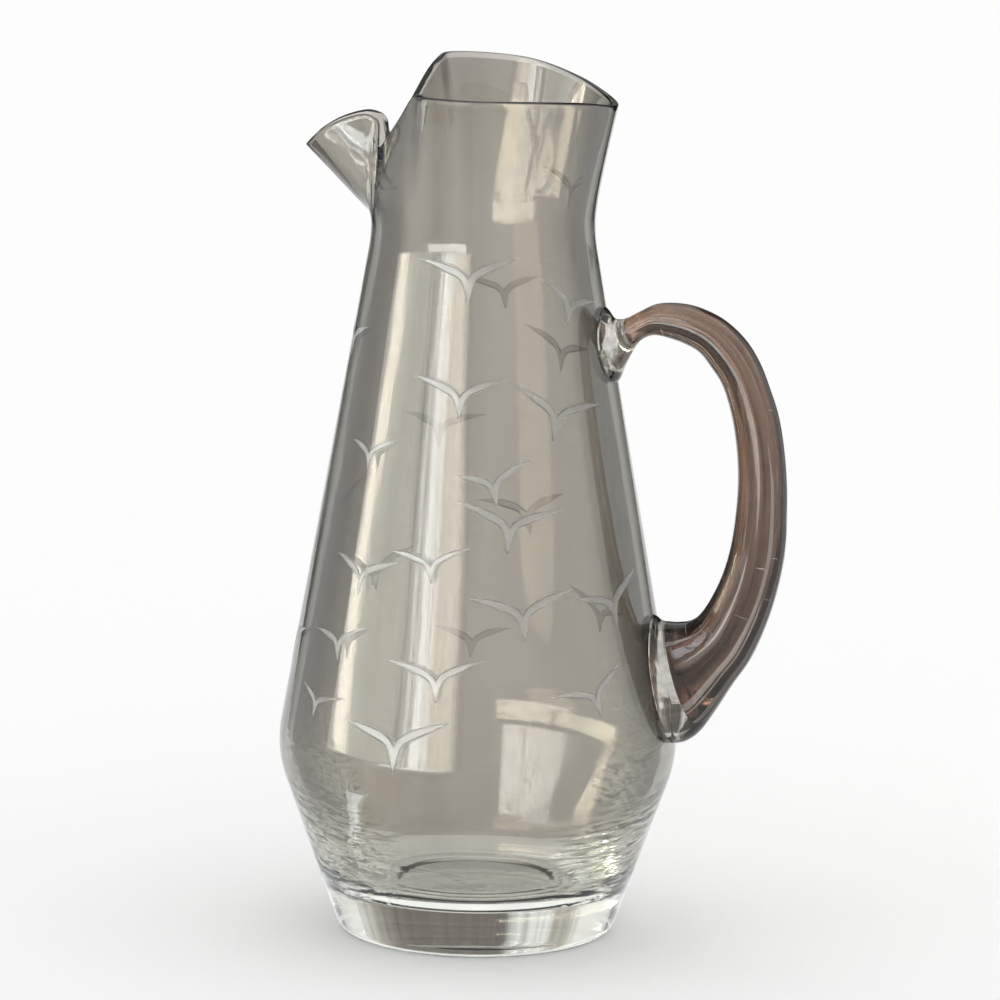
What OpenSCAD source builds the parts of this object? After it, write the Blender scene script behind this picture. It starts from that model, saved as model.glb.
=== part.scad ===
// Cocktail pitcher: blown glass body with a pinched spout, and an applied
// handle whose tinted rod is cased in clear glass.
// Frame: origin at the centre of the ground base, +Z up, handle towards +X,
// spout towards -X. Millimetres and degrees.

/* [Body] */
// Radius of the base before its corner is rounded
base_r = 42.6; // [38:0.1:46]
// Rounding of the base corner
base_round_r = 4.5; // [2:0.1:6]
// Radius at the shoulder's corner, before rounding
shoulder_r = 63.2; // [58:0.1:68]
// Height of the shoulder's corner above the table
shoulder_z = 57.3; // [50:0.1:65]
// Rounding of the shoulder
shoulder_round_r = 35; // [20:0.5:40]
// Outer radius at the neck, the narrowest place
neck_r = 35; // [32:0.1:38]
// Height at which the tall cone turns into the neck
neck_turn_z = 221; // [215:0.5:224]
// Rounding between the tall cone and the neck
neck_round_r = 60; // [30:1:70]
// Height at which the flared collar begins
collar_z = 226; // [225:0.5:230]

/* [Inside of the body] */
// Thickness of the solid base
floor_t = 15.5; // [10:0.1:20]
// Rounding between the inner floor and the wall
floor_round_r = 13; // [8:0.5:16]
// Radius the inner floor would have without its rounding
floor_r = 43.6; // [40:0.1:44]
// Outer ring on the inner floor, as a share of the flat floor's radius
floor_ring_share = 0.91; // [0.86:0.01:0.92]
// Inner ring on the inner floor, as a share of the flat floor's radius
floor_ring_in_share = 0.64; // [0.5:0.01:0.66]
// Height of the floor's rings
floor_ring_h = 0.5; // [0.2:0.05:1]
// Half width of the floor's rings
floor_ring_half_w = 2; // [1:0.1:2]
// Wall thickness at the shoulder
shoulder_wall = 4; // [3:0.1:5]
// Rounding of the shoulder on the inside
shoulder_in_round_r = 32; // [20:0.5:38]
// Wall thickness at the neck
neck_wall = 3.3; // [2.8:0.1:4]

/* [Collar and rim] */
// Radius of the round part of the mouth
mouth_r = 41.7; // [39:0.1:44]
// Height of the rim's round part
rim_z = 271.8; // [268:0.1:276]
// How far the rim dips above the handle
rim_dip = 8.8; // [0:0.1:10]
// Turn of the dip about the axis, away from the handle
rim_dip_turn = 22; // [0:1:25]
// Sharpness of the dip, as a power of its cosine
rim_dip_power = 5; // [2:1:6]
// Wall thickness at the rim
rim_wall = 2.2; // [1.8:0.1:2.8]
// Height of the melted rim's rounding
rim_crown = 0.8; // [0.4:0.1:1.2]
// Turn of the round mouth against the spout
mouth_turn = 5; // [0:0.5:6]

/* [Spout] */
// Reach of the spout's tip from the axis
spout_reach = 56.6; // [52:0.1:60]
// Height of the spout's tip
spout_z = 247.6; // [244:0.1:252]
// Sideways swell of the spout's cheeks, half way up
spout_swell = 5; // [0:0.1:6]

/* [Handle] */
// Reach of the handle's outside from the axis
handle_reach = 98; // [94:0.5:102]
// Height of the lower edge of the handle's foot
handle_foot_z = 58; // [56:0.5:60]
// Height of the handle's upper root
handle_root_z = 200; // [198:0.5:202]
// Half width of the rod, front to back
rod_half_w = 7.6; // [6:0.1:9]
// Thickness of the clear casing round the tinted rod
casing_t = 1.5; // [1.2:0.1:2]
// Clear glass below the tinted rod, in the foot
foot_casing_t = 4.2; // [3:0.1:5]

/* [Which piece] */
// Piece to draw

/* [Hidden] */
// Pieces of line in each rounding of the lathe-turned profiles
arc_steps = 9;
// Points along each span of the rim curve
span_steps = 4;
// Points on each side over which a wall's direction is taken
normal_steps = 5;
// Levels between the neck and the rim
collar_levels = 8;
// Share of the height above the neck's turn that its rounding may take
neck_room_share = 0.95;
// Section of a floor ring: shares of its half width and height
ring_shares = [[-1, 0], [-0.5, 0.5], [0, 1], [0.5, 0.5], [1, 0]];
// Points round a section of the handle
section_points = 24;
// How far the collar's tongue reaches down into the wall, and in from its faces
tongue = 1;
// Height by which the collar's first ring stands above the wall it grows from
ring_lift = 0.05;
// How far that ring is drawn inside the wall's outer face
ring_inset = 0.06;
// How far that ring is drawn inside the wall's inner face, clear of its chords
ring_inset_in = 0.15;
$fn = 96;

// Rows of the pinch from the mouth's side to the spout's tip: distance towards
// the spout, as a share of its reach
pinch_x_shares = [0.24, 0.34, 0.435, 0.55, 0.59, 0.588, 0.605, 0.68, 0.815, 0.93];
// The same rows: half width, as a share of the mouth's radius
pinch_w_shares = [0.90, 0.69, 0.47, 0.27, 0.232, 0.168, 0.126, 0.114, 0.128, 0.104];
// The same rows: height, as a share of the rise from collar to rim
pinch_z_shares = [0.995, 0.97, 0.775, 0.52, 0.565, 0.63, 0.685, 0.702, 0.645, 0.56];
// The same rows: where each stands on the neck's circle, in degrees
pinch_turns = [108, 122, 138, 156, 159.5, 162.5, 165.5, 169, 173.5, 177.2];
// The same rows: lag of the flare, none for a straight side
pinch_lag_shares = [0.3, 0.3, 0.3, 0.3, 0.3, 0.3, 0.28, 0.22, 0.12, 0.06];
// The same rows: share of the spout's swell
pinch_swell_shares = [0, 0, 0, 0, 0.1, 0.35, 0.65, 1, 0.9, 0.5];
// The same rows: wall thickness as a share of the rim's, thinned in the fold
pinch_wall_shares = [1, 1, 0.9, 0.7, 0.6, 0.65, 0.8, 1, 1, 1];
// Turns of the round mouth's rows, from the handle's side
mouth_turns = [0, 28, 56, 83];
// Lag of the flare on the round part of the collar
mouth_lag_share = 0.3;
// Lag of the flare along the spout's keel
keel_lag_share = 0.02;
// How many of the pinch's first rows belong to the round mouth and turn with it
turned_count = 3;
// Places across the melted rim, as shares of its wall
crown_shares = [0.15, 0.5, 0.85];

// Sections of the handle from the upper root to the foot. Each row: inner
// point (share of the way from the body's cone to the reach, share of height),
// outer point (the same), and half width as a share of the rod's
handle_shares = [
    [-0.226, 0.86, -0.155, 1, 1.45],
    [-0.073, 0.85, -0.044, 1.01, 1.45],
    [0.011, 0.84, 0.004, 1.005, 1.25],
    [0.085, 0.885, 0.044, 0.982, 0.85],
    [0.152, 0.925, 0.105, 0.982, 0.68],
    [0.207, 0.943, 0.191, 1, 0.66],
    [0.264, 0.95, 0.281, 1.018, 0.7],
    [0.338, 0.945, 0.382, 1.023, 0.76],
    [0.418, 0.935, 0.499, 1.017, 0.82],
    [0.498, 0.917, 0.634, 0.992, 0.88],
    [0.558, 0.885, 0.749, 0.949, 0.92],
    [0.611, 0.85, 0.828, 0.897, 0.95],
    [0.645, 0.806, 0.883, 0.84, 0.97],
    [0.672, 0.746, 0.936, 0.774, 1],
    [0.683, 0.668, 0.973, 0.685, 1],
    [0.668, 0.589, 0.988, 0.589, 1],
    [0.622, 0.499, 0.979, 0.48, 1.03],
    [0.548, 0.425, 0.925, 0.387, 1.07],
    [0.448, 0.365, 0.836, 0.304, 1.12],
    [0.354, 0.327, 0.715, 0.23, 1.18],
    [0.276, 0.311, 0.569, 0.173, 1.25],
    [0.184, 0.306, 0.424, 0.117, 1.33],
    [0.108, 0.306, 0.277, 0.068, 1.42],
    [0.054, 0.308, 0.159, 0.044, 1.5],
    [0.013, 0.318, 0.046, 0.034, 1.55],
    [-0.063, 0.325, -0.096, 0.034, 1.55]];
// Where the tinted rod begins and ends, as shares of the handle's table
rod_first_share = 0.144;
rod_last_share = 0.915;
// Length of the rod's rounded ends, as a share of the table
rod_round_share = 0.02;
// Size left at the very ends of the rod, as a share
rod_tip_share = 0.2;
// How late the clear glass below the rod begins to grow, as a power
foot_growth_power = 8;
// Sections of the tinted rod
rod_sections = 42;
// Sections drawn for each row of the handle's table
row_sections = 2;

handle_h = handle_root_z - handle_foot_z;
collar_h = rim_z - collar_z;

// Points of a profile whose corners [r, z, rounding] are rounded by short
// straight pieces
function unit(v) = v / norm(v);
function corner_points(a, p, b, r) =
    let (u = unit([a[0] - p[0], a[1] - p[1]]),
         v = unit([b[0] - p[0], b[1] - p[1]]),
         half = acos(u * v) / 2,
         centre = [p[0], p[1]] + unit(u + v) * r / sin(half),
         from = [p[0], p[1]] + u * r / tan(half) - centre,
         to = [p[0], p[1]] + v * r / tan(half) - centre,
         start = atan2(from[1], from[0]),
         sweep_raw = atan2(to[1], to[0]) - start,
         sweep = sweep_raw > 180 ? sweep_raw - 360 : sweep_raw < -180 ? sweep_raw + 360 : sweep_raw)
    [for (i = [0 : arc_steps])
        centre + r * [cos(start + sweep * i / arc_steps), sin(start + sweep * i / arc_steps)]];

// The neck's rounding, kept short of the collar
neck_lean = atan2(shoulder_r - neck_r, neck_turn_z - shoulder_z);
neck_fit_r = min(neck_round_r, neck_room_share * (collar_z - neck_turn_z) / tan(neck_lean / 2));
outer_profile = concat(
    corner_points([0, 0], [base_r, 0], [shoulder_r, shoulder_z], base_round_r),
    corner_points([base_r, 0], [shoulder_r, shoulder_z], [neck_r, neck_turn_z], shoulder_round_r),
    corner_points([shoulder_r, shoulder_z], [neck_r, neck_turn_z], [neck_r, collar_z + collar_h],
        neck_fit_r));

shoulder_in_r = shoulder_r - shoulder_wall;
neck_in_r = neck_r - neck_wall;
// The flat part of the floor ends where its rounding begins
floor_lean = atan2(shoulder_in_r - floor_r, shoulder_z - floor_t);
floor_flat_r = floor_r - floor_round_r * tan((90 - floor_lean) / 2);
function floor_ring(share) = [for (s = ring_shares)
    [share * floor_flat_r + s[0] * floor_ring_half_w, floor_t + s[1] * floor_ring_h]];
inner_profile = concat(
    floor_ring(floor_ring_in_share),
    floor_ring(floor_ring_share),
    corner_points([0, floor_t], [floor_r, floor_t], [shoulder_in_r, shoulder_z], floor_round_r),
    corner_points([floor_r, floor_t], [shoulder_in_r, shoulder_z], [neck_in_r, neck_turn_z],
        shoulder_in_round_r),
    corner_points([shoulder_in_r, shoulder_z], [neck_in_r, neck_turn_z],
        [neck_in_r, collar_z + collar_h], neck_fit_r));

// Smooth curve through rows of equal length: Catmull-Rom between each two
function spline_at(a, b, c, d, t) =
    (2 * b + (c - a) * t + (2 * a - 5 * b + 4 * c - d) * t * t
        + (3 * b - a - 3 * c + d) * t * t * t) / 2;
function spline_row(rows, s) =
    let (last = len(rows) - 1,
         i = min(floor(s), last - 1))
    spline_at(rows[max(i - 1, 0)], rows[i], rows[i + 1], rows[min(i + 2, last)], s - i);

// Height of the round rim at a turn from the handle's side
function dip_z(turn) =
    rim_z - rim_dip * pow((1 + cos(turn - rim_dip_turn)) / 2, rim_dip_power);

// Rows of the rim on one side (1 far, -1 near):
// [x, y, z, turn on the neck, lag, swell, wall]
function mouth_row(turn, side) =
    [mouth_r * cos(turn), side * mouth_r * sin(turn), dip_z(side * turn), side * turn,
        mouth_lag_share, 0, 1];
function pinch_row(i, side) =
    let (x = -pinch_x_shares[i] * spout_reach,
         y = side * pinch_w_shares[i] * mouth_r,
         a = i < turned_count ? mouth_turn : 0)
    [x * cos(a) - y * sin(a), y * cos(a) + x * sin(a), collar_z + pinch_z_shares[i] * collar_h,
        side * pinch_turns[i], pinch_lag_shares[i], side * pinch_swell_shares[i],
        pinch_wall_shares[i]];
tip_row = [-spout_reach, 0, spout_z, 180, keel_lag_share, 0, 1];
function wrapped(row) = [row[0], row[1], row[2], row[3] + 360, row[4], row[5], row[6]];
rim_rows = concat(
    [mouth_row(mouth_turns[1], -1)],
    [for (t = mouth_turns) mouth_row(t, 1)],
    [for (i = [0 : len(pinch_x_shares) - 1]) pinch_row(i, 1)],
    [tip_row],
    [for (i = [len(pinch_x_shares) - 1 : -1 : 0]) wrapped(pinch_row(i, -1))],
    [for (i = [len(mouth_turns) - 1 : -1 : 1]) wrapped(mouth_row(mouth_turns[i], -1))],
    [wrapped(mouth_row(0, 1))],
    [wrapped(mouth_row(mouth_turns[1], 1))]);
rim_spans = len(rim_rows) - 3;
rim = [for (i = [0 : rim_spans * span_steps - 1])
    spline_row(rim_rows, 1 + i / span_steps)];
rim_count = len(rim);

// Outer points of the collar at level t, from 0 at the neck to 1 at the rim
function flare(t, lag) = t * t * (1 + lag) / (t + lag);
function collar_ring(t) = [for (k = rim)
    let (h = t <= 0 ? 0 : flare(t, k[4]),
         foot = (neck_r - ring_inset) * [cos(k[3]), sin(k[3])],
         head = [k[0], k[1]],
         p = foot + (head - foot) * h)
    [p[0], p[1] + k[5] * spout_swell * sin(180 * t),
        collar_z + ring_lift + (k[2] - collar_z - ring_lift) * t]];
// The same ring moved inwards by a wall thickness, along normals taken over
// several points on each side so that they don't cross in the tight folds
function ring_normal(ring, i) =
    let (n = len(ring),
         d = ring[(i + normal_steps) % n] - ring[(i + n - normal_steps) % n],
         m = norm([d[0], d[1]]))
    [-d[1] / m, d[0] / m, 0];
function inset_ring(ring, walls) = [for (i = [0 : len(ring) - 1])
    ring[i] + ring_normal(ring, i) * walls[i]];
function lifted(ring, z) = [for (p = ring) p + [0, 0, z]];
ring_wall = neck_wall - ring_inset - ring_inset_in;
function walls_at(t) = [for (k = rim) ring_wall + (rim_wall * k[6] - ring_wall) * t];
function even_walls(wall) = [for (k = rim) wall];

levels = [for (j = [0 : collar_levels]) j / collar_levels];
neck_ring = collar_ring(0);
lip_ring = collar_ring(1);
collar_rings = concat(
    [lifted(inset_ring(neck_ring, even_walls(tongue)), -tongue)],
    [for (t = levels) collar_ring(t)],
    [for (s = crown_shares)
        lifted(inset_ring(lip_ring, walls_at(1) * s), rim_crown * sin(180 * s))],
    [for (j = [collar_levels : -1 : 0]) inset_ring(collar_ring(levels[j]), walls_at(levels[j]))],
    [lifted(inset_ring(neck_ring, even_walls(neck_wall - tongue)), -tongue)]);

// Closed skin over rings of equal length; a ring-shaped body closes on itself
module skin(rings, closed) {
    n = len(rings[0]);
    m = len(rings);
    points = [for (r = rings) each r];
    spans = closed ? m : m - 1;
    sides = [for (j = [0 : spans - 1], i = [0 : n - 1])
        let (a = j * n + i,
             b = j * n + (i + 1) % n,
             c = ((j + 1) % m) * n + (i + 1) % n,
             d = ((j + 1) % m) * n + i)
        each [[a, c, b], [a, d, c]]];
    ends = closed ? [] : [[for (i = [0 : n - 1]) i], [for (i = [n - 1 : -1 : 0]) (m - 1) * n + i]];
    polyhedron(points = points, faces = concat(sides, ends), convexity = 8);
}

// Sections of the handle: an ellipse between an inner and an outer point
function handle_row(s) = spline_row(handle_shares, s);
function cone_r(z) = shoulder_r
    + (neck_r - shoulder_r) * (z - shoulder_z) / (neck_turn_z - shoulder_z);
function handle_point(x_share, z_share) =
    let (z = handle_foot_z + z_share * handle_h)
    [cone_r(z) + x_share * (handle_reach - cone_r(z)), 0, z];
function handle_section(s, inset, foot_inset, grow) =
    let (row = handle_row(s),
         p = handle_point(row[0], row[1]),
         q = handle_point(row[2], row[3]),
         u = unit(q - p),
         p2 = p + u * inset,
         q2 = q - u * (inset + foot_inset),
         half = (q2 - p2) / 2 * grow,
         across = (row[4] * rod_half_w - inset) * grow)
    [for (i = [0 : section_points - 1])
        let (a = -360 * (i + 0.5) / section_points)
        (p2 + q2) / 2 + half * cos(a) + [0, across * sin(a), 0]];

handle_last = len(handle_shares) - 1;
handle_rings = [for (i = [0 : row_sections * handle_last])
    handle_section(i / row_sections, 0, 0, 1)];

// Roundness of the tinted rod's ends: a quarter ellipse over the end shares
function end_grow(s) =
    let (d = min(s - rod_first_share, rod_last_share - s) / rod_round_share)
    d >= 1 ? 1 : max(sqrt(max(1 - (1 - d) * (1 - d), 0)), rod_tip_share);
// Extra clear glass below the rod grows towards the foot
function foot_share(s) = pow(s / rod_last_share, foot_growth_power);
core_rings = [for (i = [0 : rod_sections])
    let (s = rod_first_share + (rod_last_share - rod_first_share) * i / rod_sections)
    handle_section(s * handle_last, casing_t, foot_casing_t * foot_share(s), end_grow(s))];

module outer_envelope() {
    rotate_extrude()
        polygon(concat([[0, 0]], outer_profile, [[neck_r, collar_z], [0, collar_z]]));
}

module blown_wall() {
    rotate_extrude()
        polygon(concat([[0, 0]], outer_profile, [[neck_r, collar_z], [neck_in_r, collar_z]],
            [for (i = [len(inner_profile) - 1 : -1 : 0]) inner_profile[i]], [[0, floor_t]]));
}

module body() {
    color([0.72, 0.71, 0.67, 0.4])
        union() {
            blown_wall();
            skin(collar_rings, true);
        }
}

module handle_core() {
    color([0.62, 0.42, 0.36, 0.7])
        skin(core_rings, false);
}

module handle_casing() {
    color([0.78, 0.74, 0.71, 0.4])
        difference() {
            skin(handle_rings, false);
            outer_envelope();
            skin(core_rings, false);
        }
}

body();
handle_casing();
handle_core();
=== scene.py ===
"""Cocktail pitcher in blown glass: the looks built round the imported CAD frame.

The body is one closed skin turned from two profiles and lofted into the
pinched collar; the handle is a tinted rod inside a clear casing; the gulls
are thin frosted cuts on the body's outside. All sizes in the dataclasses are
millimetres in the part's own frame: +Z up, handle towards +X, spout towards -X.
"""

import logging
import math
from dataclasses import dataclass, field
from enum import Enum

import bpy
import numpy as np
from mathutils import Matrix, Vector


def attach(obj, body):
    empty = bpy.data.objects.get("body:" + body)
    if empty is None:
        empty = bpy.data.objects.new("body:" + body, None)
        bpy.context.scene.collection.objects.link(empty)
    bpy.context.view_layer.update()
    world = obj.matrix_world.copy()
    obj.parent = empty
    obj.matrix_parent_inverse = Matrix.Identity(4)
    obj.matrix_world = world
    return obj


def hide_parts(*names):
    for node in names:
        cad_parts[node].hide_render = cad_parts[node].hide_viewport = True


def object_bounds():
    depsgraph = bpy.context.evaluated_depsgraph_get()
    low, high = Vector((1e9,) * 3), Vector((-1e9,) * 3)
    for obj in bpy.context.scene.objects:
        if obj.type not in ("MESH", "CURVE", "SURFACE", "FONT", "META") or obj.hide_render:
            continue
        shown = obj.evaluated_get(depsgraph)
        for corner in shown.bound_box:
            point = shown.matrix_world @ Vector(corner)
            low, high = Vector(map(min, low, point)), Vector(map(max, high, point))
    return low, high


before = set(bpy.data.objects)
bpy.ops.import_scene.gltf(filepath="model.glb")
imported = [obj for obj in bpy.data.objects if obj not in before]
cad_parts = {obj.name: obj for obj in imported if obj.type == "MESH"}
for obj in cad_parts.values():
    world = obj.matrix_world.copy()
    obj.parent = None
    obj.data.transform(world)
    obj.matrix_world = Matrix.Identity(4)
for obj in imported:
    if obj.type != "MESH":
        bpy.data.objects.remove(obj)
CAD_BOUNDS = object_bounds()

LOG = logging.getLogger("pitcher")
MM = 0.001
FULL_TURN = 360.0
FLOW = "flow"
WILD = "wild"
SLANT = "slant"
INNER = "inner"
CLEAR = "clear"
LINE = "line"
Socket = bpy.types.NodeSocket
Outputs = bpy.types.bpy_prop_collection
Value = bpy.types.NodeSocket | float | tuple


# --------------------------------------------------------------------------
# Curves
# --------------------------------------------------------------------------


def catmull_rom(rows: np.ndarray, at: np.ndarray) -> np.ndarray:
    """Values of a smooth curve through rows, at fractional row numbers.

    Between rows b and c, with neighbours a and d and t from 0 to 1, the curve
    is half of 2b + (c - a) t + (2a - 5b + 4c - d) t^2 + (3b - a - 3c + d) t^3.

    Args:
        rows: one row of values per knot.
        at: fractional row numbers.

    Returns:
        One row of values per entry of at.
    """
    last = len(rows) - 1
    i = np.clip(np.floor(at).astype(int), 0, last - 1)
    t = (at - i)[:, None]
    a, b = rows[np.maximum(i - 1, 0)], rows[i]
    c, d = rows[i + 1], rows[np.minimum(i + 2, last)]
    squared, cubed = 2 * a - 5 * b + 4 * c - d, 3 * b - a - 3 * c + d
    return (2 * b + (c - a) * t + squared * t**2 + cubed * t**3) / 2


@dataclass(frozen=True)
class Corner:
    """Corner of a turned profile: radius, height, rounding and its fineness."""

    r: float
    z: float
    rounding: float = 0.0
    pieces: int = 1


def rounded_profile(corners: list[Corner], straights: tuple) -> np.ndarray:
    """Points of a profile whose inner corners are rounded by arcs.

    An arc of radius R in a corner of half angle h starts R / tan(h) from the
    corner, and its centre lies R / sin(h) away on the bisector.

    Args:
        corners: the corners from first to last; the first and last are ends.
        straights: pieces in each straight between two corners.

    Returns:
        An array of (radius, height) rows.
    """
    runs: list[np.ndarray] = []
    points = [np.array([c.r, c.z]) for c in corners]
    for i in range(1, len(corners) - 1):
        c, p = corners[i], points[i]
        u, v = points[i - 1] - p, points[i + 1] - p
        u, v = u / np.linalg.norm(u), v / np.linalg.norm(v)
        half = math.acos(float(np.clip(u @ v, -1, 1))) / 2
        centre = p + (u + v) / np.linalg.norm(u + v) * c.rounding / math.sin(half)
        a = p + u * c.rounding / math.tan(half) - centre
        b = p + v * c.rounding / math.tan(half) - centre
        start = math.atan2(a[1], a[0])
        sweep = (math.atan2(b[1], b[0]) - start + math.pi) % (2 * math.pi) - math.pi
        turn = start + sweep * np.linspace(0, 1, c.pieces + 1)
        runs.append(centre + c.rounding * np.stack([np.cos(turn), np.sin(turn)], axis=1))
    out = []
    previous = points[0]
    for run, pieces in zip(runs, straights):
        share = np.linspace(0, 1, pieces + 1)[:-1, None]
        out.append(previous + (run[0] - previous) * share)
        out.append(run[:-1])
        previous = run[-1]
    share = np.linspace(0, 1, straights[-1] + 1)[:, None]
    out.append(previous + (points[-1] - previous) * share)
    return np.concatenate(out)


def bell(x: np.ndarray, middle: float, spread: float) -> np.ndarray:
    """Bell that is 1 at its middle: e to the power of minus ((x - middle) / spread)^2."""
    return np.exp(-(((x - middle) / spread) ** 2))


def radii(points: np.ndarray) -> np.ndarray:
    """Distance of points from the upright axis."""
    return np.hypot(points[..., 0], points[..., 1])


# --------------------------------------------------------------------------
# Meshes
# --------------------------------------------------------------------------


def grid_faces(rows: int, columns: int) -> np.ndarray:
    """Quads of a grid of rows that close round in columns, facing outward.

    Args:
        rows: number of rows; the outward side is on the right of a row's direction.
        columns: points in each row.

    Returns:
        An array of quads.
    """
    j, i = np.meshgrid(np.arange(rows - 1), np.arange(columns), indexing="ij")
    k = (i + 1) % columns
    low, high = j * columns, (j + 1) * columns
    return np.stack([low + i, low + k, high + k, high + i], -1).reshape(-1, 4)


def pole_faces(pole: int, ring: np.ndarray, last: bool) -> np.ndarray:
    """Triangles from a pole to a ring.

    Args:
        pole: number of the pole's point.
        ring: numbers of the ring's points.
        last: whether the pole comes after the last row, not before the first.

    Returns:
        An array of triangles that face outward.
    """
    nxt = np.roll(ring, -1)
    hub = np.full_like(ring, pole)
    return np.stack([hub, ring, nxt] if last else [hub, nxt, ring], -1)


def ring_flow(rings: np.ndarray, radius: float) -> np.ndarray:
    """Flow of a closed skin: round on a circle, and up by the length run over the rings.

    Args:
        rings: the skin's rings.
        radius: radius of the circle.

    Returns:
        The flow of every point, with the two poles last.
    """
    columns = rings.shape[1]
    step = np.linalg.norm(np.diff(rings, axis=0), axis=2).mean(axis=1)
    run = np.concatenate([[0], np.cumsum(step)])[:, None]
    turn = 2 * np.pi * np.arange(columns)[None] / columns
    x, y = radius * np.cos(turn), radius * np.sin(turn)
    flow = np.stack([x + 0 * run, y + 0 * run, run + 0 * turn], -1).reshape(-1, 3)
    return np.concatenate([flow, [[0, 0, 0], [0, 0, run[-1, 0]]]])


def signed_volume(points: np.ndarray, faces: list[np.ndarray]) -> float:
    """Volume inside outward faces: a sixth of the sum of a . (b x c) over fans of triangles.

    Args:
        points: the mesh's points.
        faces: arrays of quads or triangles.

    Returns:
        The volume, above zero where the faces point outwards.
    """
    total = 0.0
    for f in faces:
        for k in range(1, f.shape[1] - 1):
            a, b, c = points[f[:, 0]], points[f[:, k]], points[f[:, k + 1]]
            total += float(np.einsum("ij,ij->i", a, np.cross(b, c)).sum()) / 6
    return total


def make_piece(
    name: str,
    points: np.ndarray,
    faces: list[np.ndarray],
    flow: np.ndarray,
    shares: dict[str, np.ndarray] | None = None,
) -> bpy.types.Object:
    """Object from points in millimetres and arrays of faces of one size each.

    Args:
        name: the piece's name.
        points: an (n, 3) array in millimetres.
        faces: arrays of quads or triangles.
        flow: an (n, 3) array in millimetres that the finish reads instead of
            places, so that its waves can run along the way the glass was drawn.
        shares: further shares from 0 to 1 for each point that the finish
            reads by name: WILD is how crinkled the glass is, which also places
            painted highlights and shade, SLANT how much its tint deepens and its
            painted shade outline shows at a slant, INNER whether it is the inside,
            CLEAR how clear the glass is, with painted highlight lines at the
            floor's rings, and LINE how much a ring's painted shade line darkens it.

    Returns:
        The object, at the origin, unturned and unscaled, linked to the scene.
    """
    mesh = bpy.data.meshes.new(name)
    low, high = (np.array(c) for c in CAD_BOUNDS)
    inside = np.clip(points * MM, low, high)
    mesh.vertices.add(len(inside))
    mesh.vertices.foreach_set("co", inside.astype(np.float32).ravel())
    corners = np.concatenate([f.ravel() for f in faces])
    sizes = np.concatenate([np.full(len(f), f.shape[1]) for f in faces])
    mesh.loops.add(len(corners))
    mesh.loops.foreach_set("vertex_index", corners.astype(np.int32))
    mesh.polygons.add(len(sizes))
    starts = np.concatenate([[0], np.cumsum(sizes)[:-1]])
    mesh.polygons.foreach_set("loop_start", starts.astype(np.int32))
    mesh.update(calc_edges=True)
    mesh.validate()
    mesh.polygons.foreach_set("use_smooth", np.full(len(mesh.polygons), True))
    run = mesh.attributes.new(FLOW, "FLOAT_VECTOR", "POINT")
    run.data.foreach_set("vector", flow.astype(np.float32).ravel())
    for key, values in {SLANT: np.ones(len(points)), **(shares or {})}.items():
        share = mesh.attributes.new(key, "FLOAT", "POINT")
        share.data.foreach_set("value", values.astype(np.float32).ravel())
    piece = bpy.data.objects.new(name, mesh)
    bpy.context.scene.collection.objects.link(piece)
    volume = signed_volume(points, faces)
    LOG.info("%s: %d points, %d faces, %.0f mm3", name, len(points), len(sizes), volume)
    return piece


def closed_skin(
    name: str, rings: np.ndarray, poles: np.ndarray, flow: np.ndarray, shares: dict[str, np.ndarray]
) -> bpy.types.Object:
    """Piece over rings that a pole closes at each end.

    Args:
        name: the piece's name.
        rings: the rings, from first to last.
        poles: the pole before the first ring and the one after the last.
        flow: flow of the rings' points and of the poles.
        shares: the finish's shares of the same points.

    Returns:
        The piece.
    """
    rows, columns = rings.shape[:2]
    first = np.arange(columns)
    faces = [
        grid_faces(rows, columns),
        pole_faces(rows * columns, first, last=False),
        pole_faces(rows * columns + 1, first + (rows - 1) * columns, last=True),
    ]
    points = np.concatenate([rings.reshape(-1, 3), poles])
    return make_piece(name, points, faces, flow, shares)


# --------------------------------------------------------------------------
# Body
# --------------------------------------------------------------------------


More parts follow.
